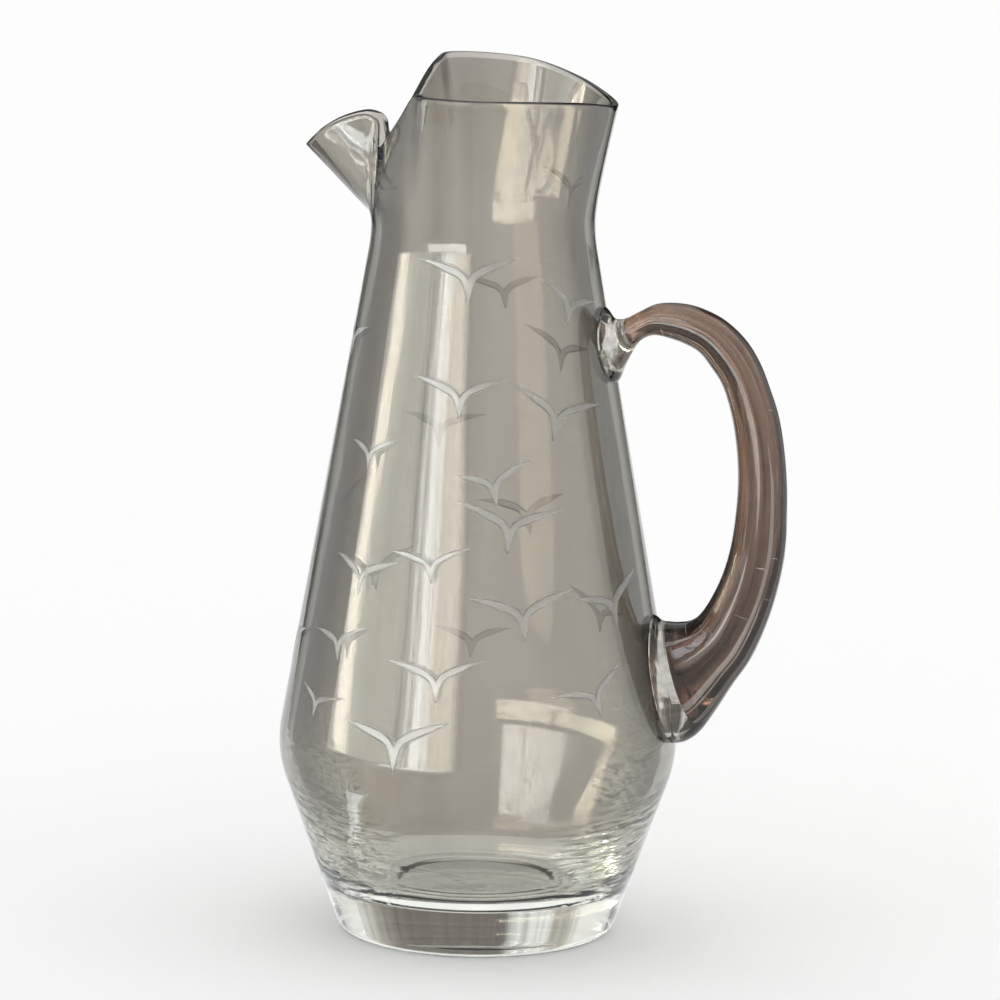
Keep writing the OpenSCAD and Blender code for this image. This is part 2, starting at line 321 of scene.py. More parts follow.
@dataclass
class BlownBody:
    """The pitcher's glass: solid base, shoulder, tall cone and pinched collar."""

    base_r: float = 42.6
    base_round_r: float = 4.5
    shoulder_r: float = 63.2
    shoulder_z: float = 57.3
    shoulder_round_r: float = 35.0
    neck_r: float = 35.0
    neck_turn_z: float = 221.0
    neck_round_r: float = 55.0
    collar_z: float = 226.0
    floor_t: float = 15.5
    floor_round_r: float = 13.0
    floor_r: float = 43.6
    shoulder_wall: float = 4.0
    shoulder_in_round_r: float = 32.0
    neck_wall: float = 3.3
    outer_arcs: tuple = (12, 22, 8)
    outer_straights: tuple = (6, 16, 46, 1)
    inner_arcs: tuple = (16, 22, 8)
    inner_straights: tuple = (44, 12, 46, 1)
    mouth_r: float = 41.7
    rim_z: float = 271.8
    rim_dip: float = 8.8
    rim_dip_turn: float = 22.0
    rim_dip_power: int = 5
    rim_wall: float = 2.2
    rim_crown: float = 0.8
    mouth_turn: float = 5.0
    spout_reach: float = 56.6
    spout_z: float = 247.6
    spout_swell: float = 5.0
    pinch_x_shares: tuple = (0.24, 0.34, 0.435, 0.55, 0.59, 0.588, 0.605, 0.68, 0.815, 0.93)
    pinch_w_shares: tuple = (0.90, 0.69, 0.47, 0.27, 0.232, 0.168, 0.126, 0.114, 0.128, 0.104)
    pinch_z_shares: tuple = (0.995, 0.97, 0.775, 0.52, 0.565, 0.63, 0.685, 0.702, 0.645, 0.56)
    pinch_turns: tuple = (108, 122, 138, 156, 159.5, 162.5, 165.5, 169, 173.5, 177.2)
    pinch_lags: tuple = (0.3, 0.3, 0.3, 0.3, 0.3, 0.3, 0.28, 0.22, 0.12, 0.06)
    pinch_swells: tuple = (0, 0, 0, 0, 0.1, 0.35, 0.65, 1, 0.9, 0.5)
    pinch_walls: tuple = (1, 1, 0.9, 0.7, 0.6, 0.65, 0.8, 1, 1, 1)
    mouth_turns: tuple = (0, 28, 56, 83)
    mouth_lag: float = 0.3
    keel_lag: float = 0.02
    turned_count: int = 3
    span_steps: int = 10
    normal_reach: float = 1.25
    collar_levels: int = 26
    crown_steps: int = 9
    wave_h: float = 0.06
    wave_turns: tuple = ((1.0, 3, 30.0, 0.0), (0.8, 5, -21.0, 0.7))
    calm_h: float = 12.0
    calm_low_z: float = 30.0
    crinkle_z: float = 33.0
    crinkle_h: float = 14.0
    crinkle_in_z: float = 28.0
    crinkle_in_h: float = 4.0
    shoulder_wild: float = 0.16
    shoulder_wild_z: float = 62.0
    shoulder_wild_h: float = 7.0
    slant_low_z: float = 17.0
    slant_h: float = 25.0
    floor_rings: tuple = (32.4, 25.2)
    floor_ring_h: float = 0.5
    floor_ring_half_w: float = 2.0
    ring_line_w: float = 0.6
    ring_line_h: float = 2.0
    # The first flanks place painted shade lines at the floor's rings, the second painted highlight
    # lines.
    shade_flanks: tuple = (-0.6, 0.9)
    highlight_flanks: tuple = (0.1, 1.5)
    clear_from_z: float = 20.0
    clear_to_z: float = 14.0
    rim: np.ndarray = field(init=False)
    outer: np.ndarray = field(init=False)
    inner: np.ndarray = field(init=False)

    def __post_init__(self) -> None:
        """Works out the rim curve and both turned profiles."""
        self.rim = self._rim_curve()
        base, shoulder, neck = self.outer_arcs
        outside = [
            Corner(0, 0),
            Corner(self.base_r, 0, self.base_round_r, base),
            Corner(self.shoulder_r, self.shoulder_z, self.shoulder_round_r, shoulder),
            Corner(self.neck_r, self.neck_turn_z, self.neck_round_r, neck),
            Corner(self.neck_r, self.rim_z),
        ]
        self.outer = rounded_profile(outside, self.outer_straights)
        base, shoulder, neck = self.inner_arcs
        shoulder_in_r = self.shoulder_r - self.shoulder_wall
        neck_in_r = self.neck_r - self.neck_wall
        inside = [
            Corner(0, self.floor_t),
            Corner(self.floor_r, self.floor_t, self.floor_round_r, base),
            Corner(shoulder_in_r, self.shoulder_z, self.shoulder_in_round_r, shoulder),
            Corner(neck_in_r, self.neck_turn_z, self.neck_round_r, neck),
            Corner(neck_in_r, self.rim_z),
        ]
        self.inner = rounded_profile(inside, self.inner_straights)

    def _dip_z(self, turn: float) -> float:
        """Height of the round rim: rim_z less a dip that falls off as a power of cosine."""
        share = (1 + math.cos(math.radians(turn - self.rim_dip_turn))) / 2
        return self.rim_z - self.rim_dip * share**self.rim_dip_power

    def _mouth_row(self, turn: float, side: int) -> list[float]:
        """One row of the round mouth.

        Args:
            turn: degrees from the handle's side.
            side: 1 for the far side, -1 for the near one.

        Returns:
            x, y, z, turn, lag, swell and wall.
        """
        a = math.radians(turn)
        x, y = self.mouth_r * math.cos(a), side * self.mouth_r * math.sin(a)
        return [x, y, self._dip_z(side * turn), side * turn, self.mouth_lag, 0, 1]

    def _pinch_row(self, i: int, side: int) -> list[float]:
        """One row of the pinch; its first rows turn with the round mouth.

        Args:
            i: the row's number.
            side: 1 for the far side, -1 for the near one.

        Returns:
            x, y, z, turn, lag, swell and wall.
        """
        x = -self.pinch_x_shares[i] * self.spout_reach
        y = side * self.pinch_w_shares[i] * self.mouth_r
        a = math.radians(self.mouth_turn if i < self.turned_count else 0)
        return [
            x * math.cos(a) - y * math.sin(a),
            y * math.cos(a) + x * math.sin(a),
            self.collar_z + self.pinch_z_shares[i] * (self.rim_z - self.collar_z),
            side * self.pinch_turns[i],
            self.pinch_lags[i],
            side * self.pinch_swells[i],
            self.pinch_walls[i],
        ]

    def _rim_curve(self) -> np.ndarray:
        """The rim once round, from the handle's side over the far cheek, spout and near cheek.

        Returns:
            Rows of x, y, z, turn, lag, swell and wall.
        """
        count = len(self.pinch_x_shares)
        far = [self._mouth_row(t, 1) for t in self.mouth_turns]
        far += [self._pinch_row(i, 1) for i in range(count)]
        near = [self._pinch_row(i, -1) for i in reversed(range(count))]
        near += [self._mouth_row(t, -1) for t in reversed(self.mouth_turns[1:])]
        tip = [-self.spout_reach, 0, self.spout_z, FULL_TURN / 2, self.keel_lag, 0, 1]
        close = [self._mouth_row(t, 1) for t in self.mouth_turns[:2]]
        rows = np.array([self._mouth_row(self.mouth_turns[1], -1), *far, tip, *near, *close])
        wrap = np.arange(len(rows)) > len(far) + 1
        rows[wrap, 3] += FULL_TURN
        spans = len(rows) - 3
        return catmull_rom(rows, 1 + np.arange(spans * self.span_steps) / self.span_steps)

    def _collar_ring(self, t: float) -> np.ndarray:
        """Outer points of the collar at a level.

        A point leaves the neck's circle by the flare share
        t^2 (1 + lag) / (t + lag), and swells sideways by sin(180 t).

        Args:
            t: the level, from 0 at the neck to 1 at the rim.

        Returns:
            The ring's points.
        """
        turn, lag = np.radians(self.rim[:, 3]), self.rim[:, 4]
        h = t * t * (1 + lag) / (t + lag) if t > 0 else np.zeros_like(lag)
        foot = self.neck_r * np.stack([np.cos(turn), np.sin(turn)], 1)
        plan = foot + (self.rim[:, :2] - foot) * h[:, None]
        plan[:, 1] += self.rim[:, 5] * self.spout_swell * math.sin(math.pi * t)
        z = self.collar_z + (self.rim[:, 2] - self.collar_z) * t
        return np.column_stack([plan, z])

    def _wall(self, t: float) -> np.ndarray:
        """The collar's wall at level t, which goes evenly from the neck's to the rim's."""
        return self.neck_wall + (self.rim_wall * self.rim[:, 6] - self.neck_wall) * t

    def _inset(self, ring: np.ndarray, walls: np.ndarray) -> np.ndarray:
        """Ring moved inwards, along level normals taken over several points.

        Args:
            ring: the outer points.
            walls: how far each point moves.

        Returns:
            The inner points.
        """
        reach = round(self.normal_reach * self.span_steps)
        d = (np.roll(ring, -reach, 0) - np.roll(ring, reach, 0))[:, :2]
        normal = np.column_stack([-d[:, 1], d[:, 0], np.zeros(len(d))])
        normal /= np.linalg.norm(normal, axis=1)[:, None]
        return ring + normal * walls[:, None]

    def _turned(self, profile: np.ndarray) -> np.ndarray:
        """Rings of a turned profile below the collar, on the rim's own turns.

        Args:
            profile: rows of radius and height.

        Returns:
            The rings.
        """
        turn = np.radians(self.rim[:, 3])
        low = profile[(profile[:, 1] < self.collar_z) & (profile[:, 0] > 0)]
        r, z = low[:, :1], low[:, 1:]
        return np.stack([r * np.cos(turn), r * np.sin(turn), z + 0 * turn], -1)

    def _ripple(self, rings: np.ndarray) -> np.ndarray:
        """Inner rings with the waves of the blown wall and the rings of the floor.

        The wall's radius changes by a sum of share * sin(lobes * turn +
        z / pitch + phase), and the floor swells by cos^2 across each ring.

        Args:
            rings: the smooth inner rings.

        Returns:
            The rippled rings.
        """
        turn = np.arctan2(rings[..., 1], rings[..., 0])
        r, z = radii(rings), rings[..., 2]
        waves = sum(s * np.sin(lobes * turn + z / h + p) for s, lobes, h, p in self.wave_turns)
        calm = np.clip((self.collar_z - z) / self.calm_h, 0, 1)
        calm = calm * np.clip((z - self.calm_low_z) / self.calm_h, 0, 1)
        scale = 1 + self.wave_h * waves * calm / np.maximum(r, 1)
        out = rings.copy()
        out[..., :2] *= scale[..., None]
        for ring_r in self.floor_rings:
            away = np.clip((r - ring_r) / self.floor_ring_half_w, -1, 1)
            swell = self.floor_ring_h * np.cos(np.pi / 2 * away) ** 2
            out[..., 2] += swell * (z < self.floor_t + self.floor_ring_h)
        return out

    def _lines(self, rings: np.ndarray, inside: np.ndarray, flanks: tuple) -> np.ndarray:
        """Share of the thin lines of painted highlight and painted shade at the floor's rings.

        Args:
            rings: the skin's rings.
            inside: whether each ring is on the inside.
            flanks: places of the lines, in half widths from a ring's middle.

        Returns:
            The share of each point, from 0 to 1.
        """
        half = self.floor_ring_half_w
        places = [ring_r + flank * half for ring_r in self.floor_rings for flank in flanks]
        total = sum(bell(radii(rings), at, self.ring_line_w) for at in places)
        low = rings[..., 2] < self.floor_t + self.ring_line_h
        return np.clip(total * (low & inside), 0, 1)

    def _cleared_and_highlighted(self, rings: np.ndarray, inside: np.ndarray) -> np.ndarray:
        """How clear the glass is: the solid foot, seen from outside, is clearer than the walls,
        and painted highlights lighten thin lines at the floor's rings.

        Args:
            rings: the skin's rings.
            inside: whether each ring is on the inside.

        Returns:
            The share of each point, with the poles last.
        """
        fall = (self.clear_from_z - rings[..., 2]) / (self.clear_from_z - self.clear_to_z)
        foot = np.clip(fall, 0, 1) * ~inside
        return np.append(foot + self._lines(rings, inside, self.highlight_flanks), (1, 0))

    def _crinkled(self, rings: np.ndarray, inside: np.ndarray) -> np.ndarray:
        """How crinkled the glass is: most in the thick lower wall, and not at all in the floor.

        Args:
            rings: the skin's rings.
            inside: whether each ring is on the inside.

        Returns:
            The share of each point, with the poles last.
        """
        z = rings[..., 2]
        share = bell(z, self.crinkle_z, self.crinkle_h)
        share = share + self.shoulder_wild * bell(z, self.shoulder_wild_z, self.shoulder_wild_h)
        lining = share * np.clip((z - self.crinkle_in_z) / self.crinkle_in_h, 0, 1)
        return np.append(np.where(inside, lining, share), (0, 0))

    def _slanted(self, rings: np.ndarray) -> np.ndarray:
        """How much the tint deepens at a slant: fully in the walls, not in the floor and base."""
        # The same share sets how strong the painted shade along the outlines is.
        rise = np.clip((rings[..., 2] - self.slant_low_z) / self.slant_h, 0, 1)
        return np.append(rise * rise * (3 - 2 * rise), (0, 0))

    def outer_r(self, z: np.ndarray) -> np.ndarray:
        """Outer radius of the turned part at heights z."""
        wall = self.outer[np.argmax(self.outer[:, 0] > self.base_r - self.base_round_r) :]
        return np.interp(z, wall[:, 1], wall[:, 0])

    def build(self) -> bpy.types.Object:
        """The body's closed skin: outer profile, collar, melted rim, inner profile.

        Returns:
            The piece.
        """
        levels = np.linspace(0, 1, self.collar_levels + 1)
        collar = [self._collar_ring(t) for t in levels]
        crown = []
        for s in np.linspace(0, 1, self.crown_steps + 1)[1:-1]:
            across = (1 - math.cos(math.pi * s)) / 2
            ring = self._inset(collar[-1], self._wall(1) * across)
            ring[:, 2] += self.rim_crown * math.sin(math.pi * s)
            crown.append(ring)
        lining = [self._inset(r, self._wall(t)) for r, t in zip(collar[::-1], levels[::-1])]
        inner = self._ripple(self._turned(self.inner))[::-1]
        rings = np.concatenate([self._turned(self.outer), collar, crown, lining, inner])
        rows, columns = rings.shape[:2]
        inside = np.arange(rows)[:, None] >= rows - len(inner)
        lined = np.repeat(np.arange(rows) >= rows - len(inner) - len(lining), columns)
        shares = {
            WILD: self._crinkled(rings, inside),
            SLANT: self._slanted(rings),
            INNER: np.append(lined, (0, 1)),
            # Clear foot, and painted highlight lines at the floor's rings.
            CLEAR: self._cleared_and_highlighted(rings, inside),
            # Painted shade lines at the floor's rings.
            LINE: np.append(self._lines(rings, inside, self.shade_flanks), (0, 0)),
        }
        poles = np.array([[0, 0, 0], [0, 0, self.floor_t]])
        return closed_skin("glass_body", rings, poles, ring_flow(rings, self.shoulder_r), shares)


# --------------------------------------------------------------------------
# Handle
# --------------------------------------------------------------------------


@dataclass
class Handle:
    """Applied handle: a clear casing drawn round a tinted rod.

    Each row of shares holds a section's inner point, its outer point and its
    width: x shares run from the body's cone to the reach, z shares from the
    foot to the root.
    """

    body: BlownBody
    reach: float = 98.0
    foot_z: float = 58.0
    root_z: float = 200.0
    half_w: float = 7.6
    casing_t: float = 1.5
    foot_casing_t: float = 4.2
    seat_gap: float = 0.04
    rod_first: float = 0.144
    rod_last: float = 0.915
    rod_round: float = 0.02
    rod_least: float = 0.02
    rod_wild: float = 0.4
    foot_growth_power: int = 8
    section_points: int = 64
    lengths: int = 220
    fine_steps: int = 2000
    rings_in_seat: int = 10
    wild_reach: float = 26.0
    shares: tuple = (
        (-0.226, 0.86, -0.155, 1, 1.45),
        (-0.073, 0.85, -0.044, 1.01, 1.45),
        (0.011, 0.84, 0.004, 1.005, 1.25),
        (0.085, 0.885, 0.044, 0.982, 0.85),
        (0.152, 0.925, 0.105, 0.982, 0.68),
        (0.207, 0.943, 0.191, 1, 0.66),
        (0.264, 0.95, 0.281, 1.018, 0.7),
        (0.338, 0.945, 0.382, 1.023, 0.76),
        (0.418, 0.935, 0.499, 1.017, 0.82),
        (0.498, 0.917, 0.634, 0.992, 0.88),
        (0.558, 0.885, 0.749, 0.949, 0.92),
        (0.611, 0.85, 0.828, 0.897, 0.95),
        (0.645, 0.806, 0.883, 0.84, 0.97),
        (0.672, 0.746, 0.936, 0.774, 1),
        (0.683, 0.668, 0.973, 0.685, 1),
        (0.668, 0.589, 0.988, 0.589, 1),
        (0.622, 0.499, 0.979, 0.48, 1.03),
        (0.548, 0.425, 0.925, 0.387, 1.07),
        (0.448, 0.365, 0.836, 0.304, 1.12),
        (0.354, 0.327, 0.715, 0.23, 1.18),
        (0.276, 0.311, 0.569, 0.173, 1.25),
        (0.184, 0.306, 0.424, 0.117, 1.33),
        (0.108, 0.306, 0.277, 0.068, 1.42),
        (0.054, 0.308, 0.159, 0.044, 1.5),
        (0.013, 0.318, 0.046, 0.034, 1.55),
        (-0.063, 0.325, -0.096, 0.034, 1.55),
    )

    def _point(self, x_share: np.ndarray, z_share: np.ndarray) -> np.ndarray:
        """Points between the body's straight cone and the handle's reach.

        Args:
            x_share: shares of the way out from the cone.
            z_share: shares of the way up from the foot to the root.

        Returns:
            The points, in the upright plane through the handle.
        """
        b = self.body
        z = self.foot_z + z_share * (self.root_z - self.foot_z)
        rise = b.neck_turn_z - b.shoulder_z
        cone = b.shoulder_r + (b.neck_r - b.shoulder_r) * (z - b.shoulder_z) / rise
        return np.stack([cone + x_share * (self.reach - cone), 0 * z, z], -1)

    def sections(
        self,
        s: np.ndarray,
        inset: float = 0.0,
        foot_inset: np.ndarray | float = 0.0,
        grow: np.ndarray | float = 1.0,
    ) -> np.ndarray:
        """Ellipses between the inner and outer points at shares s of the table.

        Args:
            s: shares of the handle's length, from 0 at the root to 1 at the foot.
            inset: distance by which every section is drawn in.
            foot_inset: further distance at the section's outer point.
            grow: size of each section as a share.

        Returns:
            An array of sections by points by coordinates.
        """
        grow = grow + 0 * s
        rows = np.array(self.shares, dtype=float)
        row = catmull_rom(rows, s * (len(rows) - 1))
        p, q = self._point(row[:, 0], row[:, 1]), self._point(row[:, 2], row[:, 3])
        u = (q - p) / np.linalg.norm(q - p, axis=1)[:, None]
        p = p + u * inset
        q = q - u * (inset + foot_inset + 0 * s)[:, None]
        half = (q - p) / 2 * grow[:, None]
        across = (row[:, 4] * self.half_w - inset) * grow
        a = -2 * np.pi * (np.arange(self.section_points) + 0.5) / self.section_points
        ring = (p + q)[:, None] / 2 + half[:, None] * np.cos(a)[None, :, None]
        ring[..., 1] += across[:, None] * np.sin(a)
        return ring

    def _clearance(self, points: np.ndarray) -> np.ndarray:
        """Distance of points outside the body's turned surface, along the radius."""
        return radii(points) - self.body.outer_r(points[..., 2]) - self.seat_gap

    def _laid(self, points: np.ndarray) -> np.ndarray:
        """Points moved level onto the body's surface, with the seat's gap.

        Args:
            points: points near the surface.

        Returns:
            The moved points.
        """
        out = points.copy()
        seat_r = self.body.outer_r(points[:, 2]) + self.seat_gap
        out[:, :2] *= (seat_r / radii(points))[:, None]
        return out

    def _seat(self, edge: np.ndarray) -> list[np.ndarray]:
        """Rings from a seat's edge to its middle, laid on the body's surface.

        Args:
            edge: the seat's outermost ring.

        Returns:
            The rings inside the edge, and the middle last.
        """
        middle = edge.mean(0)
        shares = np.linspace(1, 0, self.rings_in_seat + 1)[1:]
        rings = [self._laid(middle + (edge - middle) * share) for share in shares[:-1]]
        return [*rings, self._laid(middle[None])]

    def build_casing(self) -> bpy.types.Object:
        """The clear casing: swept skin whose ends stand on the body's wall.

        Returns:
            The piece.
        """
        fine = np.linspace(0, 1, self.fine_steps)
        clear = self._clearance(self.sections(fine))
        outside = clear > 0
        middle = len(fine) // 2
        columns = np.arange(self.section_points)
        first = middle - np.argmin(outside[middle::-1], axis=0) + 1
        last = middle + np.argmin(outside[middle:], axis=0) - 1
        ends = []
        for a, b in ((first, first - 1), (last, last + 1)):
            near, far = clear[a, columns], clear[b, columns]
            ends.append(fine[a] + (fine[b] - fine[a]) * (near / (near - far)))
        share = np.linspace(0, 1, self.lengths)[:, None]
        at = ends[0][None] + (ends[1] - ends[0])[None] * share
        grid = np.stack([self.sections(at[:, i])[:, i] for i in columns], 1)
        grid[0], grid[-1] = self._laid(grid[0]), self._laid(grid[-1])
        root, foot = self._seat(grid[0]), self._seat(grid[-1])
        rings = np.array([*root[-2::-1], *grid, *foot[:-1]])
        return self._skin("handle_clear_casing", rings, np.concatenate([root[-1], foot[-1]]))

    def build_rod(self) -> bpy.types.Object:
        """The tinted rod inside the casing; its ends grow as a quarter circle does.

        Returns:
            The piece.
        """
        s = self.rod_first + (self.rod_last - self.rod_first) * np.linspace(0, 1, self.lengths)
        d = np.minimum(s - self.rod_first, self.rod_last - s) / self.rod_round
        grow = np.where(d >= 1, 1, np.sqrt(np.clip(1 - (1 - d) ** 2, 0, 1)))
        grow = np.maximum(grow, self.rod_least)
        foot = self.foot_casing_t * (s / self.rod_last) ** self.foot_growth_power
        rings = self.sections(s, self.casing_t, foot, grow)
        poles = np.array([rings[0].mean(0), rings[-1].mean(0)])
        return self._skin("handle_tinted_rod", rings, poles, self.rod_wild)

    def _skin(
        self, name: str, rings: np.ndarray, poles: np.ndarray, least: float = 0.0
    ) -> bpy.types.Object:
        """Closed skin whose finish is wild at both ends.

        Args:
            name: the piece's name.
            rings: its rings, from the root to the foot.
            poles: its two poles.
            least: how wild it is between the ends.

        Returns:
            The piece.
        """
        flow = ring_flow(rings, self.half_w)
        ends = np.minimum(flow[:, 2], flow[:, 2].max() - flow[:, 2])
        wild = np.clip(1 - ends / self.wild_reach, least, 1)
        return closed_skin(name, rings, poles, flow, {WILD: wild})


# --------------------------------------------------------------------------
# Gulls
# --------------------------------------------------------------------------


@dataclass(frozen=True)
class Gull:
    """One cut gull: where it flies, its span and its bank."""

    turn: float
    z: float
    span: float
    bank: float = 0.0
    lift: float = 0.20
    fold: float = 1.0


@dataclass
class Flock:
    """Frosted gulls cut into the body's outside, as one thin layer."""

    body: BlownBody
    gulls: list[Gull]
    stations: int = 97
    across: int = 5
    low_h: float = 0.008
    high_h: float = 0.035
    crowding: float = 1.25
    rise: float = 1.2
    rise_power: float = 0.65
    droop: float = 0.3
    wing_w: float = 0.28
    wing_root: float = 0.06
    wing_power: float = 0.7
    tip_power: float = 1.4
    wing_above: float = 0.25
    tail_w: float = 0.19
    tail_reach: float = 0.085
    tail_power: float = 1.6

    def _outline(self, g: Gull) -> np.ndarray:
        """Grid of a gull in its own plane: stations along the wings by rows across.

        With a from 0 at the body to 1 at a tip, the spine rises by
        rise a^rise_power - droop a^2, the wing is as broad as
        (a + wing_root)^wing_power (1 - a)^tip_power, and a wedge of tail,
        e to the power of -(a / tail_reach)^tail_power, hangs below the body.

        Args:
            g: the gull.

        Returns:
            An array of stations by rows by x and y.
        """
        u = np.linspace(-1, 1, self.stations)
        u = np.sign(u) * np.abs(u) ** self.crowding
        a = np.abs(u)
        x = u * g.span / 2 * np.where(u < 0, g.fold, 1.0)
        spine = g.span * g.lift * (self.rise * a**self.rise_power - self.droop * a**2)
        wing = g.span * self.wing_w * (a + self.wing_root) ** self.wing_power
        wing = wing * (1 - a) ** self.tip_power
        tail = g.span * self.tail_w * np.exp(-((a / self.tail_reach) ** self.tail_power))
        top = spine + wing * self.wing_above
        bottom = spine - wing * (1 - self.wing_above) - tail
        v = np.linspace(0, 1, self.across)[None]
        y = bottom[:, None] + (top - bottom)[:, None] * v
        return np.stack([x[:, None] + 0 * y, y], -1)

    def _laid(self, flat: np.ndarray, g: Gull, h: float) -> np.ndarray:
        """Flat points wrapped onto the body's outside.

        Args:
            flat: x and y in the gull's own plane.
            g: the gull.
            h: height above the body's surface.

        Returns:
            The wrapped points.
        """
        c, s = math.cos(math.radians(g.bank)), math.sin(math.radians(g.bank))
        x, y = flat[..., 0] * c - flat[..., 1] * s, flat[..., 0] * s + flat[..., 1] * c
        z = g.z + y
        r = self.body.outer_r(z) + h
        turn = math.radians(g.turn) + x / self.body.outer_r(np.array(g.z))
        return np.stack([r * np.cos(turn), r * np.sin(turn), z], -1)

    def _shell_faces(self) -> np.ndarray:
        """Quads of one gull: its top, its underside and the narrow edge between them.

        Returns:
            An array of quads; the top's points follow the underside's.
        """
        n, m = self.stations, self.across
        i, j = np.meshgrid(np.arange(n - 1), np.arange(m - 1), indexing="ij")
        a = (i * m + j).ravel()
        top = np.stack([a, a + m, a + m + 1, a + 1], -1) + n * m
        bottom = np.stack([a, a + 1, a + m + 1, a + m], -1)
        edge = np.concatenate(
            [
                np.arange(n) * m,
                (n - 1) * m + np.arange(1, m),
                (np.arange(n - 1) * m + m - 1)[::-1],
                np.arange(1, m - 1)[::-1],
            ]
        )
        nxt = np.roll(edge, -1)
        side = np.stack([edge, nxt, nxt + n * m, edge + n * m], -1)
        return np.concatenate([top, bottom, side])

    def build(self) -> bpy.types.Object:
        """All gulls as closed thin shells in one piece.

        Returns:
            The piece.
        """
        layers = [
            self._laid(self._outline(g), g, h).reshape(-1, 3)
            for g in self.gulls
            for h in (self.low_h, self.high_h)
        ]
        spots = np.concatenate(layers)
        shell = 2 * self.stations * self.across
        quads = [self._shell_faces() + k * shell for k in range(len(self.gulls))]
        return make_piece("gull_cuts", spots, quads, spots)


GULLS = [
    Gull(-86, 215, 33, 2),
    Gull(-88, 179, 31, 0),
    Gull(-74, 152, 29, 12, fold=0.75),
    Gull(-68, 139, 36, -6),
    Gull(-96, 127, 26, 6),
    Gull(-124, 121, 30, 2, fold=0.8),
    Gull(-128, 158, 24, 8, fold=0.7),
    Gull(-64, 112, 36, 2),
    Gull(-92, 92, 32, 3),
    Gull(-104, 71, 38, 4),
    Gull(-130, 99, 24, 10),
    Gull(-46, 172, 36, -16),
    Gull(-28, 112, 34, 8),
    Gull(-40, 85, 30, 14),
    Gull(-137, 79, 20, -4),
    Gull(-33, 205, 26, -24),
    Gull(44, 232, 30, -2),
    Gull(62, 178, 32, 8),
    Gull(90, 196, 28, -4),
    Gull(118, 150, 32, 5),
    Gull(84, 122, 34, -8),
    Gull(56, 92, 30, 10),
    Gull(140, 104, 32, -6),
    Gull(104, 78, 28, 3),
    Gull(-160, 190, 26, 5),
    Gull(170, 132, 30, -6),
    Gull(-168, 92, 32, 4),
]


# --------------------------------------------------------------------------
# Finishes
# --------------------------------------------------------------------------


